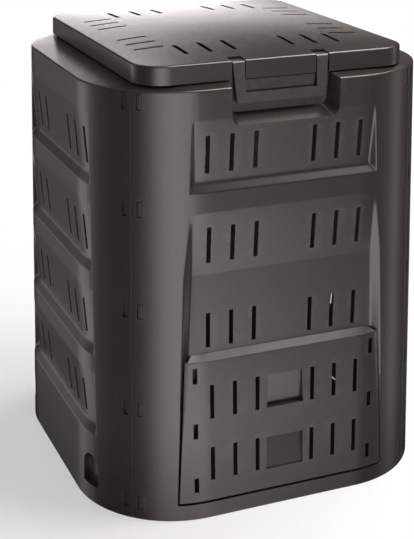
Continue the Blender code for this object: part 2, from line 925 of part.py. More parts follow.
def build_lid():
    bm = lid_shell()
    lid = mesh_object("lid", bm, parts)
    shell = lid.modifiers.new("thickness", "SOLIDIFY")
    shell.thickness = lid_thickness
    shell.offset = -1.0
    shell.use_even_offset = True
    half_x = lid_width / 2 - lid_thickness / 2
    half_y = lid_depth / 2 - lid_thickness / 2

    def ribs_along(bm):
        for y in (-rib_offset, rib_offset):
            lid_rib(bm, (-half_x, y), (half_x, y))

    def ribs_across(bm):
        for x in (-rib_offset, rib_offset):
            lid_rib(bm, (x, -half_y), (x, half_y))

    def knuckle_spans():
        for centre in (-hinge_spread, hinge_spread):
            yield (centre - knuckle_width / 2, centre + knuckle_width / 2)

    def knuckles(bm):
        for low, high in knuckle_spans():
            add_rod(bm, (low, hinge_out, hinge_height), (high, hinge_out, hinge_height), knuckle_radius)

    def webs(bm):
        for low, high in knuckle_spans():
            bottom = hinge_height - web_half_height
            top = hinge_height + web_half_height
            add_box(bm, (low, half_y, bottom), (high, hinge_out, top))

    def lugs(bm):
        inner_near = arm_inner - lid_notch_side - loose_gap - lug_thickness
        outer_near = arm_outer + lid_notch_side + loose_gap
        bottom = lid_rim_height - lid_thickness / 2 - lug_drop
        for side in (-1, 1):
            for near in (inner_near, outer_near):
                x_span = sorted((side * near, side * (near + lug_thickness)))
                sides = []
                for x in x_span:
                    back = lug_depth - half_y
                    front_top = Vector((x, -half_y, lid_rim_height - lid_thickness / 2))
                    back_top = Vector((x, back, lid_surface(x, back) - lid_thickness / 2))
                    front_edge = [Vector((x, -half_y, bottom)), front_top]
                    sides.append([front_edge, [Vector((x, back, bottom)), back_top]])
                add_slab(bm, *sides)

    def bores(bm):
        for low, high in knuckle_spans():
            start = (low - cut_overrun, hinge_out, hinge_height)
            end = (high + cut_overrun, hinge_out, hinge_height)
            add_rod(bm, start, end, pin_radius + fit_gap)
        for side in (-1, 1):
            near = side * (arm_inner - trunnion_reach - cut_overrun)
            far = side * (arm_outer + trunnion_reach + cut_overrun)
            low, high = sorted((near, far))
            start = (low, -pivot_out, pivot_height)
            end = (high, -pivot_out, pivot_height)
            add_rod(bm, start, end, trunnion_radius + fit_gap)

    def notches(bm):
        for side in (-1, 1):
            x_span = sorted((side * (arm_inner - lid_notch_side), side * (arm_outer + lid_notch_side)))
            bottom = lid_rim_height - lid_skirt - cut_overrun
            back = lid_notch_end - pivot_out
            add_box(bm, (x_span[0], -lid_depth, bottom), (x_span[1], back, lid_rim_height + lid_crown))

    def slots(bm):
        bottom = lid_rim_height - rib_depth
        top = lid_rim_height + lid_crown + cut_overrun
        far_y = lid_depth / 2 - lid_slot_inset
        far_x = lid_width / 2 - lid_side_slot_inset
        for place in front.slot_places():
            low, high = place - slot_width / 2, place + slot_width / 2
            for side in (-1, 1):
                y_span = sorted((side * far_y, side * (far_y - lid_slot_length)))
                add_box(bm, (low, y_span[0], bottom), (high, y_span[1], top))
                x_span = sorted((side * far_x, side * (far_x - lid_side_slot_length)))
                add_box(bm, (x_span[0], low, bottom), (x_span[1], high, top))

    for name, build in (("ribs_along", ribs_along), ("ribs_across", ribs_across), ("knuckles", knuckles),
                        ("webs", webs), ("lugs", lugs)):
        combine(lid, tool_object(name, build), "UNION")
    for name, build in (("lid_notches", notches), ("lid_bores", bores), ("lid_slots", slots)):
        combine(lid, tool_object(name, build), "DIFFERENCE")
    finish_piece(lid, lid_plastic)
    return lid


# Hinge pins

def hinge_pin(name, side):
    """A headed pin through one knuckle and its two ears."""
    half = knuckle_width / 2 + loose_gap / 2 + ear_width
    head_start = half + slide_gap
    bm = bmesh.new()
    add_rod(bm, (-half, 0, 0), (head_start + pin_head_length / 2, 0, 0), pin_radius)
    pin = mesh_object(name, bm, parts)

    def head(bm):
        add_rod(bm, (head_start, 0, 0), (head_start + pin_head_length, 0, 0), pin_head_radius)
    tool = tool_object(name + "_head", head)
    for obj in (pin, tool):
        obj.location = (side * hinge_spread, hinge_out, hinge_height)
        obj.rotation_euler.z = 0.0 if side > 0 else pi
    combine(pin, tool, "UNION")
    finish_piece(pin, pin_plastic)
    return pin


# Latch

def arc_points(centre, radius, start, end, steps=4):
    turns = [lerp(start, end, i / steps) for i in range(steps + 1)]
    return [(centre[0] + radius * cos(turn), centre[1] + radius * sin(turn)) for turn in turns]


def outline_plate(name, points, half_thickness):
    """A flat outline in (y, z), filled and given its thickness along X, as a mesh."""
    curve = bpy.data.curves.new(name, "CURVE")
    curve.dimensions = "2D"
    curve.fill_mode = "BOTH"
    curve.extrude = half_thickness
    spline = curve.splines.new("POLY")
    spline.points.add(len(points) - 1)
    for target, (y, z) in zip(spline.points, points):
        target.co = (y, z, 0.0, 1.0)
    spline.use_cyclic_u = True
    flat = bpy.data.objects.new(name + "_curve", curve)
    cutters.objects.link(flat)
    bpy.context.view_layer.update()
    mesh = bpy.data.meshes.new_from_object(flat.evaluated_get(bpy.context.evaluated_depsgraph_get()))
    bpy.data.objects.remove(flat, do_unlink=True)
    bm = bmesh.new()
    bm.from_mesh(mesh)
    bmesh.ops.remove_doubles(bm, verts=bm.verts, dist=weld_gap)
    to_side = Matrix(((0, 0, 1, 0), (1, 0, 0, 0), (0, 1, 0, 0), (0, 0, 0, 1)))
    bmesh.ops.transform(bm, matrix=to_side, verts=bm.verts)
    bpy.data.meshes.remove(mesh)
    return bm


def build_latch():
    """A U-shaped bail: two arms over the lid's edge, a bar below the skirt, trunnions in the lid's lugs."""
    face = -lid_depth / 2
    top = lid_rim_height - latch_top_inset
    foot = latch_foot_height
    tail = latch_tail - pivot_out
    corner = (face + latch_corner, top - latch_corner)
    outline = [(tail, top - latch_top_leg), (tail, top)]
    outline += arc_points(corner, latch_corner, quarter_turn, pi)
    outline += [(face - latch_lean, foot), (face - latch_lean + latch_arm, foot)]
    outline += [(face + latch_arm, top - latch_top_leg)]
    bm = outline_plate("lid_latch", outline, latch_half_width)
    drop = top - foot
    for vert in bm.verts:
        share = (top - vert.co.z) / drop
        vert.co.x *= lerp(1.0, latch_foot_half_width / latch_half_width, share)
    for vert in bm.verts:
        vert.co -= Vector((0.0, -pivot_out, pivot_height))
    latch = mesh_object("lid_latch", bm, parts)
    latch.location = (0.0, -pivot_out, pivot_height)

    def window(bm):
        half = latch_window_half_width
        low = (-half, face - latch_lean - cut_overrun, foot + latch_bar_height)
        add_box(bm, low, (half, tail + cut_overrun, top + cut_overrun))

    def bar(bm):
        half = latch_foot_half_width - wall_thickness
        low = (-half, face - latch_lean + latch_arm / 2, foot + latch_bar_sink)
        add_box(bm, low, (half, face - latch_lean + latch_bar_depth, foot + latch_bar_height))

    def barrels(bm):
        for side in (-1, 1):
            low, high = sorted((side * arm_inner, side * (arm_outer - loose_gap)))
            add_rod(bm, (low, -pivot_out, pivot_height), (high, -pivot_out, pivot_height), barrel_radius)

    def necks(bm):
        for side in (-1, 1):
            low, high = sorted((side * arm_inner, side * (arm_outer - loose_gap)))
            low_corner = (low, -pivot_out - barrel_radius, pivot_height)
            high_corner = (high, barrel_radius - pivot_out, top - latch_top_leg / 2)
            add_box(bm, low_corner, high_corner)

    def trunnions(bm):
        for side in (-1, 1):
            low, high = sorted((side * (arm_inner - trunnion_reach), side * (arm_outer + trunnion_reach)))
            add_rod(bm, (low, -pivot_out, pivot_height), (high, -pivot_out, pivot_height), trunnion_radius)

    combine(latch, tool_object("latch_window", window), "DIFFERENCE")
    for name, build in (("latch_bar", bar), ("latch_barrels", barrels), ("latch_necks", necks),
                        ("latch_trunnions", trunnions)):
        combine(latch, tool_object(name, build), "UNION")
    finish_piece(latch, latch_plastic)
    return latch


# Compost door

door_bottom = bay_bottom + door_bottom_gap


def door_half_width(z):
    return lerp(door_foot_half_width, door_top_half_width, (z - door_bottom) / (door_top - door_bottom))


def face_row(z, half_width, depth):
    """Half a row of points across the door's face, which carries on the wall's own curve."""
    flat = min(front.flat(z), half_width * door_flat_share)
    edge = front.run_at(half_width, z)
    return [front.point(lerp(flat, edge, i / face_steps), z, depth) for i in range(face_steps + 1)]


def skin_row(z, depth):
    """A row across the whole door, with the strip that falls away along its upper edges."""
    share = max(0.0, (z - door_strip_start) / (door_top - door_strip_start))
    half_width = door_half_width(z)
    half = face_row(z, half_width - lerp(door_edge_break, door_strip_width, share), depth)
    fall = lerp(door_edge_break, door_strip_depth, share)
    half.append(front.point(front.run_at(half_width, z), z, depth + fall))
    return front.mirrored(half)


def back_row(row, half_width, plane, z):
    """The same points moved to a plane behind, narrowed to a half width."""
    share = half_width / row[-1].x
    return [Vector((p.x * share, -plane, z)) for p in row]


def build_door():
    back = bay_plane + slide_gap
    hook_far = bay_plane + slide_gap + lip_thickness + 2 * slide_gap + hook_head

    def box(bm, inset, depth, back_plane):
        low = door_bottom + inset
        high = door_top - inset
        high_back = high + door_top_fall - inset
        rows = [front.mirrored(face_row(z, door_box_front - inset, depth)) for z in (low, high)]
        behind = [back_row(row, door_box_back - inset, back_plane, z) for row, z in zip(rows, (low, high_back))]
        add_slab(bm, rows, behind)

    bm = bmesh.new()
    heights = (door_bottom, door_strip_start, door_top)
    add_slab(bm, [skin_row(z, 0.0) for z in heights], [skin_row(z, door_skin) for z in heights])
    door = mesh_object("compost_door", bm, parts)

    def box_outside(bm):
        box(bm, 0.0, door_skin - slide_gap, back)

    def box_inside(bm):
        box(bm, door_flange, door_skin, back - cut_overrun)

    def hook_passages(bm):
        near = hook_start - loose_gap
        far = hook_start + hook_reach + loose_gap
        for side in (-1, 1):
            low, high = sorted((side * near, side * far))
            bottom = door_bottom - cut_overrun
            top = door_bottom + door_flange + fit_gap
            add_box(bm, (low, -hook_far - loose_gap, bottom), (high, cut_overrun - back, top))

    def lips(bm):
        lip_end = hook_start + hook_stem + loose_gap
        for side in (-1, 1):
            x_span = sorted((side * lip_end, side * (door_box_back - door_flange / 2)))
            low = (x_span[0], -back - lip_thickness, door_bottom + door_flange)
            add_box(bm, low, (x_span[1], -back, door_top - door_flange / 2))

    def grip(bm, top, deep_low, depth, grow):
        """A wedge pocket: deepest and widest at its foot where deep_low, otherwise at its head."""
        heights = (top - grip_height - grow, top + grow)
        depths = (depth, grip_edge) if deep_low else (grip_edge, depth)
        halves = (grip_half_width, grip_narrow_half_width)
        if not deep_low:
            halves = (grip_half_width, grip_half_width)
        start = door_skin / 2 if grow else -cut_overrun
        face, floor = [], []
        for z, half, deep in zip(heights, halves, depths):
            for rows, y in ((face, start), (floor, deep)):
                rows.append([Vector((x, y - front.half_out(z), z)) for x in (-half - grow, half + grow)])
        add_slab(bm, face, floor)

    def grip_walls(bm):
        grip(bm, grip_upper_top, True, grip_depth + door_flange, door_flange)
        grip(bm, grip_lower_top, False, grip_depth + door_flange, door_flange)

    def grip_cuts(bm):
        grip(bm, grip_upper_top, True, grip_depth, 0.0)
        grip(bm, grip_lower_top, False, grip_depth, 0.0)

    def slots(bm):
        for top in (door_upper_slot, door_lower_slot):
            for x in front.slot_places():
                low = (x - slot_width / 2, -front.half_out(top - slot_length) - cut_overrun, top - slot_length)
                add_box(bm, low, (x + slot_width / 2, grip_depth - front.half_out(top), top))

    def windows(bm):
        for centre in hook_places():
            for side in (-1, 1):
                x = side * door_window_centre
                out = front.half_out(centre)
                low_z, high_z = joint_span(centre, door_window_height)
                low = (x - door_window_width / 2, -out - cut_overrun, low_z)
                add_box(bm, low, (x + door_window_width / 2, door_skin + 2 * cut_overrun - out, high_z))

    combine(door, tool_object("door_box", box_outside), "UNION")
    combine(door, tool_object("door_hollow", box_inside), "DIFFERENCE")
    combine(door, tool_object("hook_passages", hook_passages), "DIFFERENCE")
    combine(door, tool_object("door_lips", lips), "UNION")
    combine(door, tool_object("grip_walls", grip_walls), "UNION")
    for name, build in (("grip_cuts", grip_cuts), ("door_slots", slots), ("door_windows", windows)):
        combine(door, tool_object(name, build), "DIFFERENCE")
    finish_piece(door, door_plastic)
    return door


front_wall(front)
rear_wall(rear)
side_wall(left)
side_wall(right)
build_lid()
hinge_pin("hinge_pin_left", -1)
hinge_pin("hinge_pin_right", 1)
build_latch()
build_door()
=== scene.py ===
from math import asin, cos, pi, radians, sin, sqrt

import bmesh
import bpy
from mathutils import Matrix, Vector


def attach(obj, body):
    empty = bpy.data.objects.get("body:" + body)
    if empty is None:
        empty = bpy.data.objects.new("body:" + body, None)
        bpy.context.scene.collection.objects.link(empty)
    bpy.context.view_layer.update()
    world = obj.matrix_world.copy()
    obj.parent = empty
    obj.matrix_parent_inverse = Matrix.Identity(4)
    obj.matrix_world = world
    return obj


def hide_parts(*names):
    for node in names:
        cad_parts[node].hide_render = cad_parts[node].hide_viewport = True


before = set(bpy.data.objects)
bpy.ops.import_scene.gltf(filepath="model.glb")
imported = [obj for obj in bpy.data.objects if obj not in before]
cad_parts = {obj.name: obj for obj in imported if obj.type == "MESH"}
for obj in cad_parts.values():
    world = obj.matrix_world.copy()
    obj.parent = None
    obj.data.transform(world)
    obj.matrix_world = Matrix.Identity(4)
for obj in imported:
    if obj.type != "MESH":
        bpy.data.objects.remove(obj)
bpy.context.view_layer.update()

scene = bpy.context.scene
quarterTurn = pi / 2
cutOverrun = 0.004                      # how far a cutting block runs past what it cuts
weld = 0.0002                           # overlap between blocks of one piece
rodSides = 40
sharpAngle = radians(32)
roundShares = (0.6, 0.3, 0.1, 0.0)      # places across a small rounded edge
print("frame loaded,", len(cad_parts), "CAD nodes")


# small helpers for numbers

def between(low, high, share):
    return low + (high - low) * share


def shareOf(value, low, high):
    # how far a value lies from low to high, kept from 0 to 1
    return min(1.0, max(0.0, (value - low) / (high - low)))


def span(centre, width):
    return (centre - width / 2, centre + width / 2)


def bothSides(near, far):
    # the same stretch left and right of the middle, each from low to high
    return [sorted((side * near, side * far)) for side in (-1, 1)]


def softMin(a, b, reach):
    near = max(reach - abs(a - b), 0.0) / reach
    return min(a, b) - near * near * reach / 4


def softMax(a, b, reach):
    return -softMin(-a, -b, reach)


def quarterFall(distance, radius):
    # how far a rounded edge has dropped at this distance from its end
    if distance >= radius:
        return 0.0
    return radius - sqrt(max(radius ** 2 - (radius - distance) ** 2, 0.0))


# small helpers for meshes

def meshObject(name, bm, fixNormals=True):
    if fixNormals:
        bmesh.ops.recalc_face_normals(bm, faces=bm.faces)
    mesh = bpy.data.meshes.new(name)
    bm.to_mesh(mesh)
    bm.free()
    obj = bpy.data.objects.new(name, mesh)
    scene.collection.objects.link(obj)
    return obj


def addSheet(bm, rows):
    grid = [[bm.verts.new(point) for point in row] for row in rows]
    for low, high in zip(grid, grid[1:]):
        for i in range(len(low) - 1):
            bm.faces.new((low[i], low[i + 1], high[i + 1], high[i]))
    return grid


def addSlab(bm, frontRows, backRows):
    # closes the space between two grids of the same size
    front = addSheet(bm, frontRows)
    back = addSheet(bm, backRows)

    def rim(grid):
        loop = grid[0] + [row[-1] for row in grid[1:-1]] + grid[-1][::-1]
        return loop + [row[0] for row in grid[-2:0:-1]]
    near, far = rim(front), rim(back)
    for i in range(len(near)):
        j = (i + 1) % len(near)
        bm.faces.new((near[i], near[j], far[j], far[i]))


def addLoft(bm, sections):
    rings = [[bm.verts.new(point) for point in section] for section in sections]
    count = len(rings[0])
    for low, high in zip(rings, rings[1:]):
        for i in range(count):
            j = (i + 1) % count
            bm.faces.new((low[i], low[j], high[j], high[i]))
    bm.faces.new(rings[0])
    bm.faces.new(rings[-1])


def addBlock(bm, low, high):
    centre = (Vector(low) + Vector(high)) / 2
    size = Vector(high) - Vector(low)
    bmesh.ops.create_cube(bm, size=1.0, matrix=Matrix.Translation(centre) @ Matrix.Diagonal((*size, 1.0)))


def addBlocks(bm, spans, near, far):
    # one block over each stretch of X, between two corners in Y and Z
    for low, high in spans:
        addBlock(bm, (low, *near), (high, *far))


def addRod(bm, low, high, y, z, radius):
    # a cylinder along X
    start, end = Vector((low, y, z)), Vector((high, y, z))
    place = Matrix.Translation((start + end) / 2) @ Matrix.Rotation(quarterTurn, 4, "Y")
    bmesh.ops.create_cone(bm, cap_ends=True, segments=rodSides, radius1=radius, radius2=radius,
                          depth=(end - start).length, matrix=place)


def addRods(bm, spans, y, z, radius):
    for low, high in spans:
        addRod(bm, low, high, y, z, radius)


def settle(obj):
    # keeps what the modifiers make as the piece's own mesh
    depsgraph = bpy.context.evaluated_depsgraph_get()
    mesh = bpy.data.meshes.new_from_object(obj.evaluated_get(depsgraph))
    old = obj.data
    obj.modifiers.clear()
    obj.data = mesh
    bpy.data.meshes.remove(old)


def carve(obj, operation, build, *given):
    bm = bmesh.new()
    build(bm, *given)
    tool = meshObject("tool", bm)
    cut = obj.modifiers.new("carve", "BOOLEAN")
    cut.object = tool
    cut.operation = operation
    cut.solver = "EXACT"
    settle(obj)
    bpy.data.objects.remove(tool, do_unlink=True)


def thicken(obj, thickness):
    shell = obj.modifiers.new("thickness", "SOLIDIFY")
    shell.thickness = thickness
    shell.offset = -1.0
    shell.use_even_offset = True
    settle(obj)


def easeEdges(obj, width, segments=2, limit=50):
    ease = obj.modifiers.new("ease", "BEVEL")
    ease.width = width
    ease.segments = segments
    ease.limit_method = "ANGLE"
    ease.angle_limit = radians(limit)
    ease.use_clamp_overlap = True
    settle(obj)


def finishPiece(obj, body, material, nodes=(), turn=0.0):
    obj.data.transform(Matrix.Rotation(turn, 4, "Z"))
    obj.data.shade_smooth()
    obj.data.set_sharp_from_angle(angle=sharpAngle)
    even = obj.modifiers.new("even normals", "WEIGHTED_NORMAL")
    even.mode = "FACE_AREA_WITH_ANGLE"
    even.keep_sharp = True
    settle(obj)
    obj.data.materials.clear()
    obj.data.materials.append(material)
    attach(obj, body)
    if nodes:
        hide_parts(*nodes)
    print(obj.name, "built,", len(obj.data.polygons), "faces")


# camera, solved from the bin's own straight edges in the photograph

view = {
    "location": (-0.96136, -2.28350, 1.32140),
    "azimuth": -21.912,
    "elevation": 21.220,
    "roll": 0.088,
    "focal": 1264.09,           # in pixels of the photograph
    "centre": (196.79, 270.58),
    "image": (414, 539),
    "sensor": 36,
}


def makeCamera():
    turn, lift, roll = radians(view["azimuth"]), radians(view["elevation"]), radians(view["roll"])
    back = Vector((sin(turn) * cos(lift), -cos(turn) * cos(lift), sin(lift)))
    across = Vector((0, 0, 1)).cross(back).normalized()
    up = back.cross(across)
    rolledAcross = cos(roll) * across - sin(roll) * up
    rolledUp = sin(roll) * across + cos(roll) * up
    data = bpy.data.cameras.new("camera")
    width, height = view["image"]
    data.sensor_width = view["sensor"]
    data.lens = view["focal"] * view["sensor"] / height
    data.shift_x = (width / 2 - view["centre"][0]) / height
    data.shift_y = (view["centre"][1] - height / 2) / height
    obj = bpy.data.objects.new("camera", data)
    place = Matrix((rolledAcross, rolledUp, back)).transposed().to_4x4()
    place.translation = view["location"]
    obj.matrix_world = place
    scene.collection.objects.link(obj)
    scene.camera = obj


makeCamera()
print("camera placed")


# node helpers

nodeSpacing = {"across": 240, "down": 260}


def addNode(tree, kind, **values):
    node = tree.nodes.new(kind)
    for name, value in values.items():
        setattr(node, name, value)
    return node


def giveInput(tree, socket, value):
    # a number or a colour is set on the socket, another node's output is linked to it
    if isinstance(value, bpy.types.NodeSocket):
        tree.links.new(value, socket)
    else:
        socket.default_value = value


def layOut(tree):
    # puts the nodes in columns, from the output back to what feeds it
    column = [node for node in tree.nodes if not any(socket.is_linked for socket in node.outputs)]
    x = 0
    while column:
        for row, node in enumerate(column):
            node.location = (x, -row * nodeSpacing["down"])
        x -= nodeSpacing["across"]
        feeding = [link.from_node for node in column for socket in node.inputs for link in socket.links]
        column = list(dict.fromkeys(feeding))


def objectCoords(tree):
    return addNode(tree, "ShaderNodeTexCoord").outputs["Object"]


def separate(tree, vector):
    node = addNode(tree, "ShaderNodeSeparateXYZ")
    tree.links.new(vector, node.inputs[0])
    return node.outputs


def mixColour(tree, share, first, second):
    mix = addNode(tree, "ShaderNodeMix", data_type="RGBA")
    for socket, value in ((mix.inputs["Factor"], share), (mix.inputs[6], first), (mix.inputs[7], second)):
        giveInput(tree, socket, value)
    return mix.outputs[2]


def mixShaders(tree, share, first, second):
    mix = addNode(tree, "ShaderNodeMixShader")
    for socket, value in zip(mix.inputs, (share, first, second)):
        tree.links.new(value, socket)
    return mix.outputs[0]


def newGroup(name, inputs, outputs):
    tree = bpy.data.node_groups.new(name, "ShaderNodeTree")
    for label, kind, default in inputs:
        socket = tree.interface.new_socket(label, in_out="INPUT", socket_type=kind)
        socket.default_value = default
    for label, kind in outputs:
        tree.interface.new_socket(label, in_out="OUTPUT", socket_type=kind)
    return tree, addNode(tree, "NodeGroupInput"), addNode(tree, "NodeGroupOutput")


def maths(tree, operation, first, second=None, clamp=False):
    node = addNode(tree, "ShaderNodeMath", operation=operation, use_clamp=clamp)
    giveInput(tree, node.inputs[0], first)
    if second is not None:
        giveInput(tree, node.inputs[1], second)
    return node.outputs[0]


def remap(tree, value, fromLow, fromHigh, toLow, toHigh):
    node = addNode(tree, "ShaderNodeMapRange")
    given = {"Value": value, "From Min": fromLow, "From Max": fromHigh, "To Min": toLow, "To Max": toHigh}
    for label, number in given.items():
        giveInput(tree, node.inputs[label], number)
    return node.outputs["Result"]


def noise(tree, coords, scale, detail, roughness):
    node = addNode(tree, "ShaderNodeTexNoise")
    for label, value in (("Vector", coords), ("Scale", scale), ("Detail", detail), ("Roughness", roughness)):
        giveInput(tree, node.inputs[label], value)
    return node.outputs[0]


effects = {
    # noise: its detail and roughness; fade: which stretch of the noise becomes which stretch of the mask
    "grainNoise": (4.0, 0.6), "waveNoise": (1.0, 0.5),
    "driftNoise": (4.0, 0.6), "driftFade": (0.3, 0.7, 0.0, 0.8),
    "speckNoise": (2.0, 0.5), "speckFade": (0.45, 0.75, 0.0, 0.5),
    "wearNoise": (5.0, 0.65), "wearFade": (0.35, 0.6, 0.25, 1.0),
    "dustNoise": (6.0, 0.6), "dustFade": (0.38, 0.68, 0.15, 1.0), "dustUpward": (0.35, 1.0, 0.0, 1.0),
}


def makeGrainGroup():
    # the fine leathery grain of the mould, with a slow waviness under it
    tree, given, result = newGroup(
        "mouldGrain",
        [("Grain Scale", "NodeSocketFloat", 900.0), ("Grain Depth", "NodeSocketFloat", 0.5),
         ("Wave Scale", "NodeSocketFloat", 7.0), ("Wave Depth", "NodeSocketFloat", 0.5)],
        [("Height", "NodeSocketFloat")])
    coords = objectCoords(tree)
    grain = noise(tree, coords, given.outputs["Grain Scale"], *effects["grainNoise"])
    cells = addNode(tree, "ShaderNodeTexVoronoi", feature="SMOOTH_F1")
    tree.links.new(coords, cells.inputs["Vector"])
    tree.links.new(given.outputs["Grain Scale"], cells.inputs["Scale"])
    wave = noise(tree, coords, given.outputs["Wave Scale"], *effects["waveNoise"])
    mixed = maths(tree, "ADD", grain, cells.outputs["Distance"])
    fine = maths(tree, "MULTIPLY", mixed, given.outputs["Grain Depth"])
    slow = maths(tree, "MULTIPLY", wave, given.outputs["Wave Depth"])
    tree.links.new(maths(tree, "ADD", fine, slow), result.inputs["Height"])
    return tree


def makeToneGroup():
    # slow colour drift of the recycled plastic, with faint lighter specks
    tree, given, result = newGroup(
        "plasticTone",
        [("Deep", "NodeSocketColor", (0.04, 0.04, 0.04, 1)), ("Pale", "NodeSocketColor", (0.06, 0.06, 0.06, 1)),
         ("Drift Scale", "NodeSocketFloat", 5.0), ("Speck Scale", "NodeSocketFloat", 700.0)],
        [("Color", "NodeSocketColor")])
    coords = objectCoords(tree)
    drift = noise(tree, coords, given.outputs["Drift Scale"], *effects["driftNoise"])
    speck = noise(tree, coords, given.outputs["Speck Scale"], *effects["speckNoise"])
    slow = remap(tree, drift, *effects["driftFade"])
    fast = remap(tree, speck, *effects["speckFade"])
    share = maths(tree, "ADD", slow, fast, clamp=True)
    tree.links.new(mixColour(tree, share, given.outputs["Deep"], given.outputs["Pale"]), result.inputs["Color"])
    return tree


def makeWearGroup():
    # rubbed edges: strongest on outward corners, broken up so that it isn't even
    tree, given, result = newGroup(
        "edgeWear",
        [("Start", "NodeSocketFloat", 0.52), ("Full", "NodeSocketFloat", 0.62),
         ("Break Scale", "NodeSocketFloat", 60.0), ("Amount", "NodeSocketFloat", 0.6)],
        [("Mask", "NodeSocketFloat")])
    shape = addNode(tree, "ShaderNodeNewGeometry").outputs["Pointiness"]
    coords = objectCoords(tree)
    edge = remap(tree, shape, given.outputs["Start"], given.outputs["Full"], 0.0, 1.0)
    patch = noise(tree, coords, given.outputs["Break Scale"], *effects["wearNoise"])
    broken = remap(tree, patch, *effects["wearFade"])
    rubbed = maths(tree, "MULTIPLY", edge, broken)
    tree.links.new(maths(tree, "MULTIPLY", rubbed, given.outputs["Amount"]), result.inputs["Mask"])
    return tree


def makeDustGroup():
    # pale garden dust that settles on faces that look up
    tree, given, result = newGroup(
        "settledDust",
        [("Patch Scale", "NodeSocketFloat", 18.0), ("Amount", "NodeSocketFloat", 0.3)],
        [("Mask", "NodeSocketFloat")])
    normal = addNode(tree, "ShaderNodeNewGeometry").outputs["Normal"]
    coords = objectCoords(tree)
    upward = remap(tree, separate(tree, normal)["Z"], *effects["dustUpward"])
    patch = noise(tree, coords, given.outputs["Patch Scale"], *effects["dustNoise"])
    broken = remap(tree, patch, *effects["dustFade"])
    settled = maths(tree, "MULTIPLY", upward, broken)
    tree.links.new(maths(tree, "MULTIPLY", settled, given.outputs["Amount"]), result.inputs["Mask"])
    return tree


groups = {
    "grain": makeGrainGroup(),
    "tone": makeToneGroup(),
    "wear": makeWearGroup(),
    "dust": makeDustGroup(),
}
for groupTree in groups.values():
    layOut(groupTree)
print("node groups built:", len(groups))


def placeGroup(tree, name, values):
    node = addNode(tree, "ShaderNodeGroup", node_tree=groups[name])
    for label, value in values.items():
        node.inputs[label].default_value = value
    return node


def makePlastic(name, look):
    material = bpy.data.materials.new(name)
    material.use_nodes = True
    tree = material.node_tree
    shader = tree.nodes["Principled BSDF"]
    shader.inputs["IOR"].default_value = look["ior"]
    tone = placeGroup(tree, "tone", {
        "Deep": (*look["deep"], 1), "Pale": (*look["pale"], 1), "Drift Scale": look["driftScale"]})
    wear = placeGroup(tree, "wear", {"Amount": look["wear"]})
    dust = placeGroup(tree, "dust", {"Amount": look["dust"]})
    grain = placeGroup(tree, "grain", {
        "Grain Scale": look["grainScale"], "Grain Depth": look["grainDepth"], "Wave Depth": look["waveDepth"]})
    worn = mixColour(tree, wear.outputs["Mask"], tone.outputs["Color"], (*look["wornColour"], 1))
    dusty = mixColour(tree, dust.outputs["Mask"], worn, (*look["dustColour"], 1))
    tree.links.new(dusty, shader.inputs["Base Color"])
    sheen = remap(tree, grain.outputs["Height"], *look["heightRange"], look["roughness"] - look["roughSpread"],
                  look["roughness"] + look["roughSpread"])
    dull = maths(tree, "MULTIPLY", dust.outputs["Mask"], look["dustRoughness"])
    tree.links.new(maths(tree, "ADD", sheen, dull), shader.inputs["Roughness"])
    bump = addNode(tree, "ShaderNodeBump")
    bump.inputs["Strength"].default_value = look["bump"]
    bump.inputs["Distance"].default_value = look["bumpHeight"]
    tree.links.new(grain.outputs["Height"], bump.inputs["Height"])
    tree.links.new(bump.outputs["Normal"], shader.inputs["Normal"])
    material.diffuse_color = (*look["pale"], 1)
    layOut(tree)
    return material


wallLook = {
    "deep": (0.0260, 0.0205, 0.0172), "pale": (0.0350, 0.0280, 0.0236), "driftScale": 4.0, "ior": 1.45,
    "roughness": 0.25, "roughSpread": 0.05,
    "grainScale": 850.0, "grainDepth": 0.55, "waveDepth": 0.3, "heightRange": (0.2, 1.4),
    "bump": 0.35, "bumpHeight": 0.0004,
    "wear": 0.35, "wornColour": (0.085, 0.082, 0.078),
    "dust": 0.04, "dustColour": (0.16, 0.155, 0.145), "dustRoughness": 0.5,
}
looks = {
    "wall": wallLook,
    "lid": dict(wallLook, deep=(0.0255, 0.0207, 0.0177), pale=(0.0335, 0.0275, 0.0237), grainScale=1100.0,
                grainDepth=0.4, waveDepth=0.12, dust=0.02),
    "latch": dict(wallLook, deep=(0.0245, 0.0194, 0.0162), pale=(0.0325, 0.0262, 0.0222), roughness=0.30,
                  wear=0.5),
    "door": dict(wallLook, deep=(0.0272, 0.0214, 0.0179), pale=(0.0365, 0.0292, 0.0246), roughness=0.26),
    "pin": dict(wallLook, deep=(0.020, 0.0170, 0.0150), pale=(0.028, 0.0240, 0.0210), roughness=0.30,
                grainDepth=0.2),
}
plastics = {name: makePlastic(name + "Plastic", look) for name, look in looks.items()}
print("plastics mixed:", len(plastics))


# shell outline, shared by the walls and the door

shell = {
    "width": 0.720, "depth": 0.704,
    "topWidth": 0.662, "topDepth": 0.639,
    "height": 0.8275,
    "baseRadius": 0.202, "topRadius": 0.177,
    "thickness": 0.0035,
    "edgeRound": 0.004, "edgeSteps": 5,
    "footWidth": 0.014, "footRound": 0.003,
    "seamTurn": radians(42.6),
    "seamGap": 0.0010, "seamRound": 0.0005, "bandGap": 0.0014,
    "ease": 0.0005, "easeLimit": 60,
}
fields = {
    "count": 4, "top": 0.7745, "pitch": 0.165, "height": 0.1295,
    "ledge": 0.0155, "depth": 0.012, "draft": 0.8, "slope": 0.0115,
    "crease": 0.0030, "lipRound": 0.0014, "topRound": 0.0004,
    "below": 0.003, "above": 0.006,     # how far past its edges a field is still worked out
}
slots = {"width": 0.0085, "length": 0.069, "drop": 0.028, "inGroup": 3}
collar = {
    "across": 0.509, "out": 0.571, "radius": 0.0475,
    "footRise": 0.006, "height": 0.0165,
}
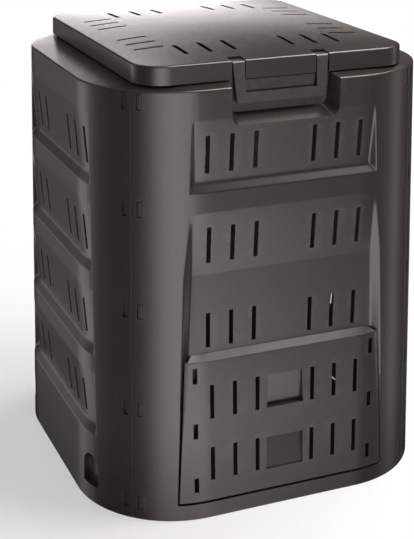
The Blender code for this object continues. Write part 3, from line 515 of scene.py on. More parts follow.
bay = {
    "top": 0.608, "breakHeight": 0.490, "bottom": 0.0365, "ledge": 0.0035, "plane": 0.321,
    "footLip": 0.2195, "breakLip": 0.200, "topLip": 0.185,
    "footFloor": 0.205, "breakFloor": 0.1834, "topFloor": 0.183,
    "crease": 0.0015, "lipRound": 0.0016, "ledgeRound": 0.0015, "topRound": 0.0004,
    "past": 0.01, "leastDepth": 0.0001, "leastSlope": 0.0015,
    "blendTop": 0.640, "floorEdge": 0.003,      # above the bay its mesh lines run over into the field's
    "slotTops": (0.581, 0.4135),
    "hatchHalf": 0.172, "hatchBottom": 0.050, "hatchTop": 0.310,
}
spacing = {
    # steps across half a wall: the fields' floor, their slanted side, and the face beside them
    "floor": 15, "slope": 9, "flank": 13,
    "pastLip": (0.0, 0.0012, 0.0030), "flankStart": 0.006,
    # heights: the widest and least step, and how closely they gather round each fold
    "height": 0.0065, "least": 0.0004, "gather": (-1, -0.6, -0.3, 0, 0.3, 0.6, 1),
    "fieldFoot": 0.0022, "fieldLedge": 0.0045, "fieldTop": 0.0040,
    "bayFoot": 0.0010, "bayLedge": 0.0016, "bayBreak": 0.004,
    "shoulder": (0.25, 0.5, 0.75),
}


def cornerRadius(z):
    return between(shell["baseRadius"], shell["topRadius"], z / shell["height"])


def outlinePoint(run, halfAcross, halfOut, radius, z, depth=0.0):
    # a point this far along a rounded rectangle from the middle of its front side
    side = 1 if run >= 0 else -1
    flat = halfAcross - radius
    past = abs(run) - flat
    if past <= 0:
        return Vector((run, depth - halfOut, z))
    turn = past / radius
    reach = radius - depth
    return Vector((side * (flat + reach * sin(turn)), radius - halfOut - reach * cos(turn), z))


def makeWallSpec(name, turn, seamTurn, sizes):
    right = [sizes["slotStart"] + i * sizes["slotPitch"] for i in range(slots["inGroup"])]
    return dict(sizes, name=name, turn=turn, seamTurn=seamTurn, hasBay=name == "front_wall",
                slotPlaces=[-x for x in reversed(right)] + right)


endSizes = {
    "across": (shell["width"], shell["topWidth"]), "out": (shell["depth"], shell["topDepth"]),
    "collarAcross": collar["across"], "collarOut": collar["out"],
    "lipTop": 0.1786, "lipFlare": 0.0567, "slotStart": 0.0575, "slotPitch": 0.0463,
}
sideSizes = {
    "across": (shell["depth"], shell["topDepth"]), "out": (shell["width"], shell["topWidth"]),
    "collarAcross": collar["out"], "collarOut": collar["across"],
    "lipTop": 0.1895, "lipFlare": 0.052, "slotStart": 0.073, "slotPitch": 0.0485,
}
frontSpec = makeWallSpec("front_wall", 0.0, shell["seamTurn"], endSizes)
rearSpec = makeWallSpec("rear_wall", pi, shell["seamTurn"], endSizes)
leftSpec = makeWallSpec("left_wall", -quarterTurn, quarterTurn - shell["seamTurn"], sideSizes)
rightSpec = makeWallSpec("right_wall", quarterTurn, quarterTurn - shell["seamTurn"], sideSizes)


def halfAcross(wall, z):
    return between(*wall["across"], z / shell["height"]) / 2


def halfOut(wall, z):
    return between(*wall["out"], z / shell["height"]) / 2


def flatHalf(wall, z):
    return halfAcross(wall, z) - cornerRadius(z)


def seamRun(wall, z):
    return flatHalf(wall, z) + cornerRadius(z) * wall["seamTurn"]


def runAt(wall, x, z):
    past = x - flatHalf(wall, z)
    if past <= 0:
        return x
    return flatHalf(wall, z) + cornerRadius(z) * asin(past / cornerRadius(z))


def onOutline(wall, run, z, depth=0.0):
    return outlinePoint(run, halfAcross(wall, z), halfOut(wall, z), cornerRadius(z), z, depth)


def wallEnd(wall, z, gap=None):
    return seamRun(wall, z) - (gap or shell["seamGap"]) / 2


def fieldTops(wall):
    return [fields["top"] - i * fields["pitch"] for i in range(1 if wall["hasBay"] else fields["count"])]


def fieldLip(wall, z):
    return runAt(wall, wall["lipTop"] + (fields["top"] - z) * wall["lipFlare"], z)


def fieldDepth(wall, run, z):
    # depth of the slanted recesses at this place
    lip = fieldLip(wall, z)
    for top in fieldTops(wall):
        bottom = top - fields["height"]
        if not bottom - fields["below"] < z < top + fields["above"]:
            continue
        rise = (z - bottom) / fields["ledge"] * fields["depth"]
        fall = (top - z) / (fields["height"] - fields["ledge"]) * fields["depth"]
        side = (lip - abs(run)) / fields["draft"]
        floor = softMin(softMin(rise, fall, fields["crease"]), side, fields["crease"])
        rounding = fields["topRound"] if fall < min(rise, side) else fields["lipRound"]
        return softMax(floor, 0.0, rounding)
    return 0.0


def bayEdges(wall, z):
    # half widths of the door bay's mouth and of its floor
    if z <= bay["breakHeight"]:
        low, high, share = "foot", "break", shareOf(z, bay["bottom"], bay["breakHeight"])
    else:
        low, high, share = "break", "top", shareOf(z, bay["breakHeight"], bay["top"])
    return [runAt(wall, between(bay[low + edge], bay[high + edge], share), z) for edge in ("Lip", "Floor")]


def bayDepth(wall, run, z):
    # how far the door bay's surface lies straight behind the wall's face
    lip, floor = bayEdges(wall, z)
    if z > bay["top"] + bay["past"] or abs(run) > lip + bay["past"]:
        return 0.0

    def planeBehind(place):
        share = max(0.0, (z - bay["breakHeight"]) / (bay["top"] - bay["breakHeight"]))
        level = min(z, bay["breakHeight"])
        return (-bay["plane"] - onOutline(wall, place, level).y) * (1 - share)
    back = planeBehind(run)
    slope = max(planeBehind(floor), bay["leastDepth"]) / max(lip - floor, bay["leastSlope"])
    side = (lip - abs(run)) * slope
    rise = (z - bay["bottom"] + bay["ledge"]) / bay["ledge"] * back
    depth = softMin(softMin(back, side, bay["crease"]), rise, bay["ledgeRound"])
    return softMax(depth, 0.0, bay["lipRound"] if side < back else bay["topRound"])


def facePoint(wall, run, z, extra=0.0, gap=None, easing=1.0):
    fall = quarterFall(wallEnd(wall, z, gap) - abs(run), shell["seamRound"]) * easing
    point = onOutline(wall, run, z, fieldDepth(wall, run, z) + fall + extra)
    if wall["hasBay"]:
        point.y += bayDepth(wall, run, z)
    return point


def wallRuns(wall, z, gap=None):
    # places across half a wall, close together where it folds
    lip = fieldLip(wall, z)
    floor = lip - fields["slope"]
    if wall["hasBay"] and z < bay["blendTop"]:
        bayLip, bayFloor = bayEdges(wall, z)
        share = shareOf(z, bay["top"], bay["blendTop"])
        bayFloor = min(bayFloor - bay["floorEdge"], bayLip - fields["slope"])
        lip, floor = between(bayLip, lip, share), between(bayFloor, floor, share)
    end, flank = wallEnd(wall, z, gap), spacing["flank"]
    runs = [floor * i / spacing["floor"] for i in range(spacing["floor"])]
    runs += [between(floor, lip, i / spacing["slope"]) for i in range(spacing["slope"])]
    runs += [lip + past for past in spacing["pastLip"]]
    runs += [between(lip + spacing["flankStart"], end - shell["seamRound"], i / flank) for i in range(flank + 1)]
    return runs + [end - shell["seamRound"] * share for share in roundShares]


def mirrored(half):
    # the middle point is shared by the two halves
    return [Vector((-p.x, p.y, p.z)) for p in reversed(half[1:])] + half


def faceRow(wall, z, extra=0.0, gap=None, easing=1.0):
    return mirrored([facePoint(wall, run, z, extra, gap, easing) for run in wallRuns(wall, z, gap)])


def collarRow(wall, z):
    halfX, halfY = wall["collarAcross"] / 2, wall["collarOut"] / 2
    whole = halfX - collar["radius"] + collar["radius"] * wall["seamTurn"]
    top = shell["height"]
    half = []
    for run in wallRuns(wall, top, shell["bandGap"]):
        half.append(outlinePoint(whole * run / seamRun(wall, top), halfX, halfY, collar["radius"], z))
    return mirrored(half)


def closeHeights(low, high, marks):
    # heights from low to high, closer round each mark
    heights = [low, high]
    for mark, spread in marks:
        heights += [mark + spread * share for share in spacing["gather"]]
    heights = sorted(z for z in heights if low <= z <= high)
    filled = [heights[0]]
    for z in heights[1:]:
        gap = z - filled[-1]
        if gap < spacing["least"]:
            continue
        count = int(gap / spacing["height"]) + 1
        filled += [between(filled[-1], z, i / count) for i in range(1, count)] + [z]
    return filled


def buildWall(wall):
    marks = []
    for fieldTop in fieldTops(wall):
        bottom = fieldTop - fields["height"]
        marks += [(bottom, spacing["fieldFoot"]), (bottom + fields["ledge"], spacing["fieldLedge"]),
                  (fieldTop, spacing["fieldTop"])]
    if wall["hasBay"]:
        marks += [(bay["bottom"] - bay["ledge"], spacing["bayFoot"]), (bay["bottom"], spacing["bayLedge"]),
                  (bay["breakHeight"], spacing["bayBreak"]), (bay["top"], spacing["bayBreak"])]
    foot, top, ease = shell["footRound"], shell["height"], shell["edgeRound"]
    turns = [quarterTurn * i / shell["edgeSteps"] for i in range(shell["edgeSteps"] + 1)]
    rows = [faceRow(wall, 0.0, shell["footWidth"])]
    rows += [faceRow(wall, foot * (1 - cos(turn)), foot * (1 - sin(turn))) for turn in turns[:-1]]
    rows += [faceRow(wall, z) for z in closeHeights(foot, top - ease, marks)]
    for turn in turns[1:]:
        # the seam's rounding fades out here, because it would fold the shoulder
        z, inset = top - ease * (1 - sin(turn)), ease * (1 - cos(turn))
        rows.append(faceRow(wall, z, inset, shell["bandGap"], cos(turn)))
    collarFoot = collarRow(wall, top + collar["footRise"])
    edge = rows[-1]
    for share in spacing["shoulder"]:
        rows.append([a.lerp(b, share) for a, b in zip(edge, collarFoot)])
    rows += [collarFoot, collarRow(wall, top + collar["footRise"] + collar["height"])]
    bm = bmesh.new()
    addSheet(bm, rows)
    obj = meshObject(wall["name"] + "_panel", bm, fixNormals=False)
    thicken(obj, shell["thickness"])
    return obj


joints = {
    "shares": (0.0435, 0.2792, 0.5136, 0.7456, 0.9764),
    "windowHeight": 0.029, "windowWidth": 0.010, "windowOffset": 0.0095,
    "tongueThickness": 0.003, "tongueRoot": 0.034, "rootLength": 0.012, "tongueHeight": 0.0300,
    "tongueEnd": 0.0055, "padGap": 0.0012, "tongueGap": 0.0010, "slideGap": 0.0004,
    "rootSink": 0.0004, "bend": 4, "tongueBend": 10, "ease": 0.0005,
}


def bentBlock(wall, bm, side, offsets, heights, depths, steps=joints["bend"]):
    # a block that follows the wall's curve, placed by its distance past the seam
    spread = [between(*offsets, i / steps) for i in range(steps + 1)]

    def layer(depth):
        return [[onOutline(wall, side * (seamRun(wall, z) + offset), z, depth) for offset in spread]
                for z in heights]
    addSlab(bm, layer(depths[0]), layer(depths[1]))


def jointCentres():
    return [share * shell["height"] for share in joints["shares"]]


def addJointWindows(wall, bm):
    offsets = (-joints["windowOffset"] - joints["windowWidth"], -joints["windowOffset"])
    depths = (-cutOverrun, shell["thickness"] + cutOverrun)
    for centre in jointCentres():
        for side in (-1, 1):
            bentBlock(wall, bm, side, offsets, span(centre, joints["windowHeight"]), depths)


def addSlots(wall, bm, tops):
    for top in tops:
        bottom = top - slots["length"]
        before = -halfOut(wall, bottom) - cutOverrun
        behind = 2 * cutOverrun + shell["thickness"] - min(halfOut(wall, top) - fields["depth"], bay["plane"])
        for x in wall["slotPlaces"]:
            addBlock(bm, (x - slots["width"] / 2, before, bottom), (x + slots["width"] / 2, behind, top))


def makeTongues(wall):
    # snap tongues that run behind the next wall and stand in its windows
    frontFace = shell["thickness"] + joints["tongueGap"]
    back = frontFace + joints["tongueThickness"]
    root = (-joints["tongueRoot"], joints["rootLength"] - joints["tongueRoot"])
    near = joints["windowOffset"]
    far = near + joints["windowWidth"]
    bm = bmesh.new()
    for centre in jointCentres():
        pad = span(centre, joints["windowHeight"] - 2 * joints["padGap"])
        tongue = (pad[1] - joints["tongueHeight"], pad[1])
        blocks = (
            (root, tongue, (shell["thickness"] - joints["rootSink"], back)),
            ((root[1] - weld, far + joints["tongueEnd"]), tongue, (frontFace, back), joints["tongueBend"]),
            ((near + joints["padGap"], far - joints["padGap"]), pad, (joints["slideGap"], frontFace + weld)),
        )
        for side in (-1, 1):
            for block in blocks:
                bentBlock(wall, bm, side, *block)
    obj = meshObject(wall["name"] + "_tongues", bm)
    easeEdges(obj, joints["ease"])
    finishPiece(obj, "bin", plastics["wall"], turn=wall["turn"])


pocket = {
    "seamInset": 0.1094, "halfWidth": 0.0245, "bottom": 0.037, "height": 0.066, "depth": 0.015, "lap": 0.005,
    "steps": 16,
}


def addPockets(wall, obj):
    # a blind arched pocket low at each end of a side wall
    z = pocket["bottom"]

    def arch(grow):
        radius = pocket["halfWidth"] + grow
        spring = z + pocket["height"] - pocket["halfWidth"]
        points = [(-radius, z - grow), (radius, z - grow)]
        for i in range(pocket["steps"] + 1):
            turn = pi * i / pocket["steps"]
            points.append((radius * cos(turn), spring + radius * sin(turn)))
        return points

    def section(points, side, depth):
        run = side * (seamRun(wall, z) - pocket["seamInset"])
        base = onOutline(wall, run, z)
        inward = (onOutline(wall, run, z, pocket["depth"]) - base).normalized()
        across = Vector((inward.y, -inward.x, 0.0))
        foot = Vector((base.x, base.y, 0.0)) + inward * depth
        return [foot + across * x + Vector((0, 0, h)) for x, h in points]

    def arches(bm, grow, depths):
        for side in (-1, 1):
            addLoft(bm, [section(arch(grow), side, depth) for depth in depths])
    liner = shell["thickness"]
    carve(obj, "UNION", arches, liner, (pocket["lap"], pocket["depth"] + liner))
    carve(obj, "DIFFERENCE", arches, 0.0, (-pocket["depth"], pocket["depth"]))


def finishWall(wall, obj):
    def cuts(bm):
        if wall["hasBay"]:
            addBlock(bm, (-bay["hatchHalf"], -shell["depth"] / 2, bay["hatchBottom"]),
                     (bay["hatchHalf"], shell["thickness"] + cutOverrun - bay["plane"], bay["hatchTop"]))
        addJointWindows(wall, bm)
        addSlots(wall, bm, [top - slots["drop"] for top in fieldTops(wall)])
        if wall["hasBay"]:
            addSlots(wall, bm, bay["slotTops"])
    carve(obj, "DIFFERENCE", cuts)
    easeEdges(obj, shell["ease"], limit=shell["easeLimit"])
    finishPiece(obj, "bin", plastics["wall"], [wall["name"]], wall["turn"])


def makeSideWall(wall):
    obj = buildWall(wall)
    addPockets(wall, obj)
    finishWall(wall, obj)
    makeTongues(wall)


makeSideWall(leftSpec)
makeSideWall(rightSpec)


hinge = {
    "out": 0.3030, "height": 0.8455, "spread": 0.150, "knuckle": 0.030, "radius": 0.0075, "ear": 0.008,
    "gap": 0.0010, "webHalf": 0.006, "bore": 0.0028, "boreOverrun": 0.002,
}


def makeRearWall(wall):
    obj = buildWall(wall)
    earBase = shell["height"] + collar["footRise"] / 2 - shell["thickness"] / 2
    out, height, radius = -hinge["out"], hinge["height"], hinge["radius"]
    ears = []
    for centre in (-hinge["spread"], hinge["spread"]):
        for side in (-1, 1):
            near = centre + side * (hinge["knuckle"] + hinge["gap"]) / 2
            ears.append(sorted((near, near + side * hinge["ear"])))
    bores = [(low - hinge["boreOverrun"], high + hinge["boreOverrun"]) for low, high in ears]
    carve(obj, "UNION", addBlocks, ears, (out - radius, earBase), (out + radius, height))
    carve(obj, "UNION", addRods, ears, out, height, radius)
    carve(obj, "DIFFERENCE", addRods, bores, out, height, hinge["bore"])
    finishWall(wall, obj)


makeRearWall(rearSpec)


# front wall: latch notch with its keeper, door bay, hatch and door hooks

notch = {
    "half": 0.107, "floor": 0.7595, "corner": 0.015, "flare": 0.0035, "back": 0.287, "mouth": 0.3215,
    "taper": 0.0085, "floorRise": 0.0155, "steps": 10,
    "lipRound": 0.0026,
    "keeperHalf": 0.0675, "keeperHeight": 0.0200, "keeperLift": 0.002, "keeperReach": 0.0045,
}
hooks = {
    "height": 0.024, "stem": 0.003, "reach": 0.007, "head": 0.0024, "inset": 0.0015, "lip": 0.002, "gap": 0.0004,
    "shares": (0.127, 0.517, 0.905), "ease": 0.0004,
}


def hookCentres():
    return [bay["bottom"] + share * (door["top"] - bay["bottom"]) for share in hooks["shares"]]


def notchOutline(halfWidth, floor, corner, flare, top, y):
    # the notch seen from the front: open at the top, round at its lower corners
    points = []
    for side in (1, -1):
        arc = []
        for i in range(notch["steps"] + 1):
            turn = quarterTurn * i / notch["steps"]
            x = halfWidth - flare - corner + corner * cos(turn)
            arc.append(Vector((side * x, y, floor + corner - corner * sin(turn))))
        edge = [Vector((side * halfWidth, y, top))] + arc
        points += edge if side > 0 else edge[::-1]
    return points


def addNotch(wall, obj):
    bandShare = (notch["mouth"] - notch["back"]) / notch["mouth"]
    thickness = shell["thickness"]

    def mouth(grow, top, y):
        return notchOutline(notch["half"] + grow, notch["floor"] - grow, notch["corner"] + grow, notch["flare"],
                            top, y)

    def back(grow, top, y):
        return notchOutline(notch["half"] - notch["taper"] + grow, notch["floor"] + notch["floorRise"] - grow,
                            notch["corner"] + grow - notch["corner"] * bandShare, notch["flare"], top, y)

    def walls(bm):
        front = thickness / 2 - halfOut(wall, shell["height"])
        rise = shell["height"] - thickness / 2
        addLoft(bm, [mouth(thickness, rise, front),
                     back(thickness, rise + collar["footRise"], thickness - notch["back"])])

    def hollow(bm):
        top = shell["height"] + collar["footRise"] + collar["height"]
        lip, face = notch["lipRound"], -halfOut(wall, notch["floor"])
        sections = [mouth(lip, top, -shell["depth"] / 2)]
        for share in (*reversed(roundShares), 1.0):
            sections.append(mouth(quarterFall(lip * share, lip), top, face + lip * share))
        addLoft(bm, sections + [back(0, top, -notch["back"])])
    bottom = latch["foot"] + latch["barHeight"] + notch["keeperLift"]
    carve(obj, "UNION", walls)
    carve(obj, "DIFFERENCE", hollow)
    carve(obj, "UNION", addBlock, (-notch["keeperHalf"], -notch["back"] - notch["keeperReach"], bottom),
          (notch["keeperHalf"], thickness / 2 - notch["back"], bottom + notch["keeperHeight"]))


def cutLatchRelief(wall, obj):
    # two gaps in the collar for the lugs and barrels of the bail
    bottom = lid["rim"] - lid["thickness"] / 2 - lid["lugDrop"] - 2 * lid["looseGap"]
    top = shell["height"] + collar["footRise"] + collar["height"] + cutOverrun
    near = latch["windowHalf"] - lid["notchSide"] - lid["lugThickness"] - 2 * lid["looseGap"]
    far = latch["half"] + lid["notchSide"] + lid["lugThickness"] + 2 * lid["looseGap"]
    behind = shell["thickness"] + cutOverrun - wall["collarOut"] / 2
    carve(obj, "DIFFERENCE", addBlocks, bothSides(near, far), (-notch["back"] - cutOverrun, bottom), (behind, top))


def makeHooks():
    start = bay["hatchHalf"] + hooks["inset"]
    end, stem = start + hooks["reach"], start + hooks["stem"]
    rootY = weld - bay["plane"]
    nearY = -bay["plane"] - hooks["lip"] - 3 * hooks["gap"]
    farY = nearY - hooks["head"]
    outline = [(start, rootY), (start, farY), (end, farY), (end, nearY), (stem, nearY), (stem, rootY)]
    bm = bmesh.new()
    for centre in hookCentres():
        for side in (-1, 1):
            addLoft(bm, [[Vector((side * x, y, z)) for x, y in outline] for z in span(centre, hooks["height"])])
    obj = meshObject("door_hooks", bm)
    easeEdges(obj, hooks["ease"])
    finishPiece(obj, "bin", plastics["wall"])


def makeFrontWall(wall):
    obj = buildWall(wall)
    addNotch(wall, obj)
    cutLatchRelief(wall, obj)
    finishWall(wall, obj)
    makeHooks()


# lid

lid = {
    "width": 0.524, "depth": 0.5874, "radius": 0.055, "rim": 0.8676, "crown": 0.0132, "skirt": 0.0328,
    "thickness": 0.003, "edgeRound": 0.004, "edgeSteps": 5, "draft": 0.001, "cornerSteps": 14, "sideSteps": 16,
    "ringShares": (0.15, 0.3, 0.45, 0.6, 0.72, 0.82, 0.9, 0.96, 1.0), "skirtShares": (0.35, 0.7, 1.0),
    "slotLength": 0.070, "sideSlotLength": 0.057, "slotInset": 0.0695, "sideSlotInset": 0.0375,
    "ribOffset": 0.127, "ribThickness": 0.0025, "ribDepth": 0.012, "ribSteps": 16,
    "notchSide": 0.0017, "notchEnd": 0.013, "lugThickness": 0.0062, "lugDepth": 0.0215, "lugDrop": 0.0185,
    "looseGap": 0.0010, "ease": 0.0005, "easeLimit": 60,
}


def roundedRectangle(halfX, halfY, radius):
    points = []
    for sx, sy, quarter in ((1, 1, 0), (-1, 1, 1), (-1, -1, 2), (1, -1, 3)):
        centre = Vector((sx * (halfX - radius), sy * (halfY - radius)))
        arc = []
        for i in range(lid["cornerSteps"] + 1):
            turn = quarterTurn * (quarter + i / lid["cornerSteps"])
            arc.append(centre + radius * Vector((cos(turn), sin(turn))))
        if points:
            start = points[-1]
            points += [start.lerp(arc[0], i / lid["sideSteps"]) for i in range(1, lid["sideSteps"])]
        points += arc
    first, last = points[0], points[-1]
    return points + [last.lerp(first, i / lid["sideSteps"]) for i in range(1, lid["sideSteps"])]


def lidSurface(x, y):
    shareX = min(abs(x) / (lid["width"] / 2), 1.0)
    shareY = min(abs(y) / (lid["depth"] / 2), 1.0)
    return lid["rim"] + lid["crown"] * (1 - shareX ** 2) * (1 - shareY ** 2)


def lidRing(inset, drop, grow=0.0):
    offset = grow - inset
    points = roundedRectangle(lid["width"] / 2 + offset, lid["depth"] / 2 + offset, lid["radius"] + offset)
    return [Vector((p.x, p.y, lidSurface(p.x, p.y) - drop)) for p in points]


def makeLid():
    inner, thickness = lid["edgeRound"], lid["thickness"]
    outline = roundedRectangle(lid["width"] / 2 - inner, lid["depth"] / 2 - inner, lid["radius"] - inner)
    rings = []
    for share in lid["ringShares"]:
        rings.append([Vector((p.x * share, p.y * share, lidSurface(p.x * share, p.y * share))) for p in outline])
    for i in range(1, lid["edgeSteps"] + 1):
        turn = quarterTurn * i / lid["edgeSteps"]
        rings.append(lidRing(inner * (1 - sin(turn)), inner * (1 - cos(turn))))
    edge, foot = rings[-1], lidRing(0.0, 0.0, lid["draft"])
    for share in lid["skirtShares"]:
        level = between(lid["rim"] - inner, lid["rim"] - lid["skirt"], share)
        rings.append([Vector((*a.xy.lerp(b.xy, share), level)) for a, b in zip(edge, foot)])
    bm = bmesh.new()
    middle = bm.verts.new((0.0, 0.0, lidSurface(0.0, 0.0)))
    loops = [[bm.verts.new(point) for point in ring] for ring in rings]
    count = len(loops[0])
    for i in range(count):
        j = (i + 1) % count
        bm.faces.new((middle, loops[0][i], loops[0][j]))
        for near, far in zip(loops, loops[1:]):
            bm.faces.new((near[i], far[i], far[j], near[j]))
    obj = meshObject("bin_lid", bm, fixNormals=False)
    thicken(obj, thickness)
    halfX = (lid["width"] - thickness) / 2
    halfY = (lid["depth"] - thickness) / 2
    knuckleSpans = [span(centre, hinge["knuckle"]) for centre in (-hinge["spread"], hinge["spread"])]

    def rib(bm, start, end):
        across = Vector((start[1] - end[1], end[0] - start[0])).normalized() * lid["ribThickness"] / 2
        sides = []
        for side in (1, -1):
            low, high = [], []
            for i in range(lid["ribSteps"] + 1):
                place = Vector(start).lerp(Vector(end), i / lid["ribSteps"])
                top = lidSurface(place.x, place.y) - thickness / 2
                spot = place + across * side
                low.append(Vector((spot.x, spot.y, top - lid["ribDepth"])))
                high.append(Vector((spot.x, spot.y, top)))
            sides.append([low, high])
        addSlab(bm, *sides)

    def ribsAlong(bm):
        for offset in (-lid["ribOffset"], lid["ribOffset"]):
            rib(bm, (-halfX, offset), (halfX, offset))

    def ribsAcross(bm):
        for offset in (-lid["ribOffset"], lid["ribOffset"]):
            rib(bm, (offset, -halfY), (offset, halfY))

    def lugs(bm):
        inside = latch["windowHalf"] - lid["notchSide"] - lid["looseGap"] - lid["lugThickness"]
        outside = latch["half"] + lid["notchSide"] + lid["looseGap"]
        under = lid["rim"] - thickness / 2
        bottom = under - lid["lugDrop"]
        back = lid["lugDepth"] - halfY
        for side in (-1, 1):
            for near in (inside, outside):
                sides = []
                for x in sorted((side * near, side * (near + lid["lugThickness"]))):
                    top = lidSurface(x, back) - thickness / 2
                    sides.append([[Vector((x, -halfY, bottom)), Vector((x, -halfY, under))],
                                  [Vector((x, back, bottom)), Vector((x, back, top))]])
                addSlab(bm, *sides)

    def bores(bm):
        addRods(bm, [(low - cutOverrun, high + cutOverrun) for low, high in knuckleSpans],
                hinge["out"], hinge["height"], hinge["bore"])
        reach = latch["reach"] + cutOverrun
        addRods(bm, bothSides(latch["windowHalf"] - reach, latch["half"] + reach),
                -latch["pivotOut"], latch["pivotHeight"], latch["trunnion"] + latch["boreGap"])

    def openings(bm):
        addBlocks(bm, bothSides(latch["windowHalf"] - lid["notchSide"], latch["half"] + lid["notchSide"]),
                  (-lid["depth"], lid["rim"] - lid["skirt"] - cutOverrun),
                  (lid["notchEnd"] - latch["pivotOut"], lid["rim"] + lid["crown"]))
        bottom = lid["rim"] - lid["ribDepth"]
        top = lid["rim"] + lid["crown"] + cutOverrun
        farX = lid["width"] / 2 - lid["sideSlotInset"]
        farY = lid["depth"] / 2 - lid["slotInset"]
        for place in frontSpec["slotPlaces"]:
            low, high = span(place, slots["width"])
            for along, across in zip(bothSides(farY - lid["slotLength"], farY),
                                     bothSides(farX - lid["sideSlotLength"], farX)):
                addBlock(bm, (low, along[0], bottom), (high, along[1], top))
                addBlock(bm, (across[0], low, bottom), (across[1], high, top))
    carve(obj, "UNION", ribsAlong)
    carve(obj, "UNION", ribsAcross)
    carve(obj, "UNION", addBlocks, knuckleSpans, (halfY, hinge["height"] - hinge["webHalf"]),
          (hinge["out"], hinge["height"] + hinge["webHalf"]))
    carve(obj, "UNION", addRods, knuckleSpans, hinge["out"], hinge["height"], hinge["radius"])
    carve(obj, "UNION", lugs)
    carve(obj, "DIFFERENCE", bores)
    carve(obj, "DIFFERENCE", openings)
    easeEdges(obj, lid["ease"], limit=lid["easeLimit"])
    finishPiece(obj, "lid", plastics["lid"], ["lid"])


# bail latch

latch = {
    "half": 0.093, "footHalf": 0.0855, "windowHalf": 0.070, "foot": 0.7925, "barHeight": 0.018, "barDepth": 0.0092,
    "barSink": 0.0005, "lean": 0.006, "arm": 0.005, "topLeg": 0.006, "topInset": 0.0016, "corner": 0.0055,
    "tail": 0.0065, "pivotOut": 0.2790, "pivotHeight": 0.8545, "barrel": 0.006, "trunnion": 0.003, "reach": 0.0078,
    "boreGap": 0.0003, "cornerSteps": 8, "ease": 0.0007, "easeSegments": 3, "easeLimit": 40,
}


def makeLatch():
    face, top, foot = -lid["depth"] / 2, lid["rim"] - latch["topInset"], latch["foot"]
    tail = latch["tail"] - latch["pivotOut"]
    corner = (face + latch["corner"], top - latch["corner"])
    front = face - latch["lean"]
    outline = [(tail, top - latch["topLeg"]), (tail, top)]
    for i in range(latch["cornerSteps"] + 1):
        turn = quarterTurn + quarterTurn * i / latch["cornerSteps"]
        outline.append((corner[0] + latch["corner"] * cos(turn), corner[1] + latch["corner"] * sin(turn)))
    outline += [(front, foot), (front + latch["arm"], foot), (face + latch["arm"], top - latch["topLeg"])]
    taper = 1 - latch["footHalf"] / latch["half"]

    def halfAt(z):
        return latch["half"] * (1 - taper * (top - z) / (top - foot))
    bm = bmesh.new()
    addLoft(bm, [[Vector((side * halfAt(z), y, z)) for y, z in outline] for side in (-1, 1)])
    obj = meshObject("bail_latch", bm)
    y, z = -latch["pivotOut"], latch["pivotHeight"]
    barrel, barTop, inner = latch["barrel"], foot + latch["barHeight"], latch["windowHalf"]
    barHalf = latch["footHalf"] - shell["thickness"]
    armSpans = bothSides(inner, latch["half"] - lid["looseGap"])
    trunnionSpans = bothSides(inner - latch["reach"], latch["half"] + latch["reach"])
    carve(obj, "DIFFERENCE", addBlock, (-inner, front - cutOverrun, barTop),
          (inner, tail + cutOverrun, top + cutOverrun))
    carve(obj, "UNION", addBlock, (-barHalf, front + latch["arm"] / 2, foot + latch["barSink"]),
          (barHalf, front + latch["barDepth"], barTop))
    carve(obj, "UNION", addRods, armSpans, y, z, barrel)
    carve(obj, "UNION", addBlocks, armSpans, (y - barrel, z), (y + barrel, top - latch["topLeg"] / 2))
    carve(obj, "UNION", addRods, trunnionSpans, y, z, latch["trunnion"])
    easeEdges(obj, latch["ease"], segments=latch["easeSegments"], limit=latch["easeLimit"])
    finishPiece(obj, "latch", plastics["latch"], ["lid_latch"])


# compost door

door = {
    "top": 0.326, "topFall": 0.008, "bottom": 0.0379, "topHalf": 0.2005, "footHalf": 0.2165,
    "stripStart": 0.170, "stripWidth": 0.0085, "stripDepth": 0.003, "edgeBreak": 0.0008,
    "skin": 0.0022, "topRound": 0.0022, "flange": 0.0025, "boxFront": 0.1955, "boxBack": 0.1835, "flatShare": 0.66,
    "slotTops": (0.277, 0.149), "windowCentre": 0.183, "windowWidth": 0.009, "windowHeight": 0.0305,
    "gripHalf": 0.0385, "gripNarrow": 0.0350, "gripHeight": 0.068, "gripDepth": 0.011,
    "gripTops": (0.277, 0.147), "gripEdge": 0.0036,
    "play": 0.001, "passageHeight": 0.0028, "boxSink": 0.0004, "ease": 0.0005,
    "flatSteps": 4, "faceSteps": 12, "lowSteps": 4, "stripSteps": 6,
}


def doorFaceRow(z, halfWidth, depth):
    flat = min(flatHalf(frontSpec, z), halfWidth * door["flatShare"])
    edge = runAt(frontSpec, halfWidth, z)
    inner = [flat * i / door["flatSteps"] for i in range(door["flatSteps"])]
    outer = [between(flat, edge, i / door["faceSteps"]) for i in range(door["faceSteps"] + 1)]
    return [onOutline(frontSpec, run, z, depth) for run in inner + outer]


def doorSkinRow(z, depth):
    share = shareOf(z, door["stripStart"], door["top"])
    halfWidth = between(door["footHalf"], door["topHalf"], (z - door["bottom"]) / (door["top"] - door["bottom"]))
    half = doorFaceRow(z, halfWidth - between(door["edgeBreak"], door["stripWidth"], share), depth)
    fall = between(door["edgeBreak"], door["stripDepth"], share)
    half.append(onOutline(frontSpec, runAt(frontSpec, halfWidth, z), z, depth + fall))
    return mirrored(half)


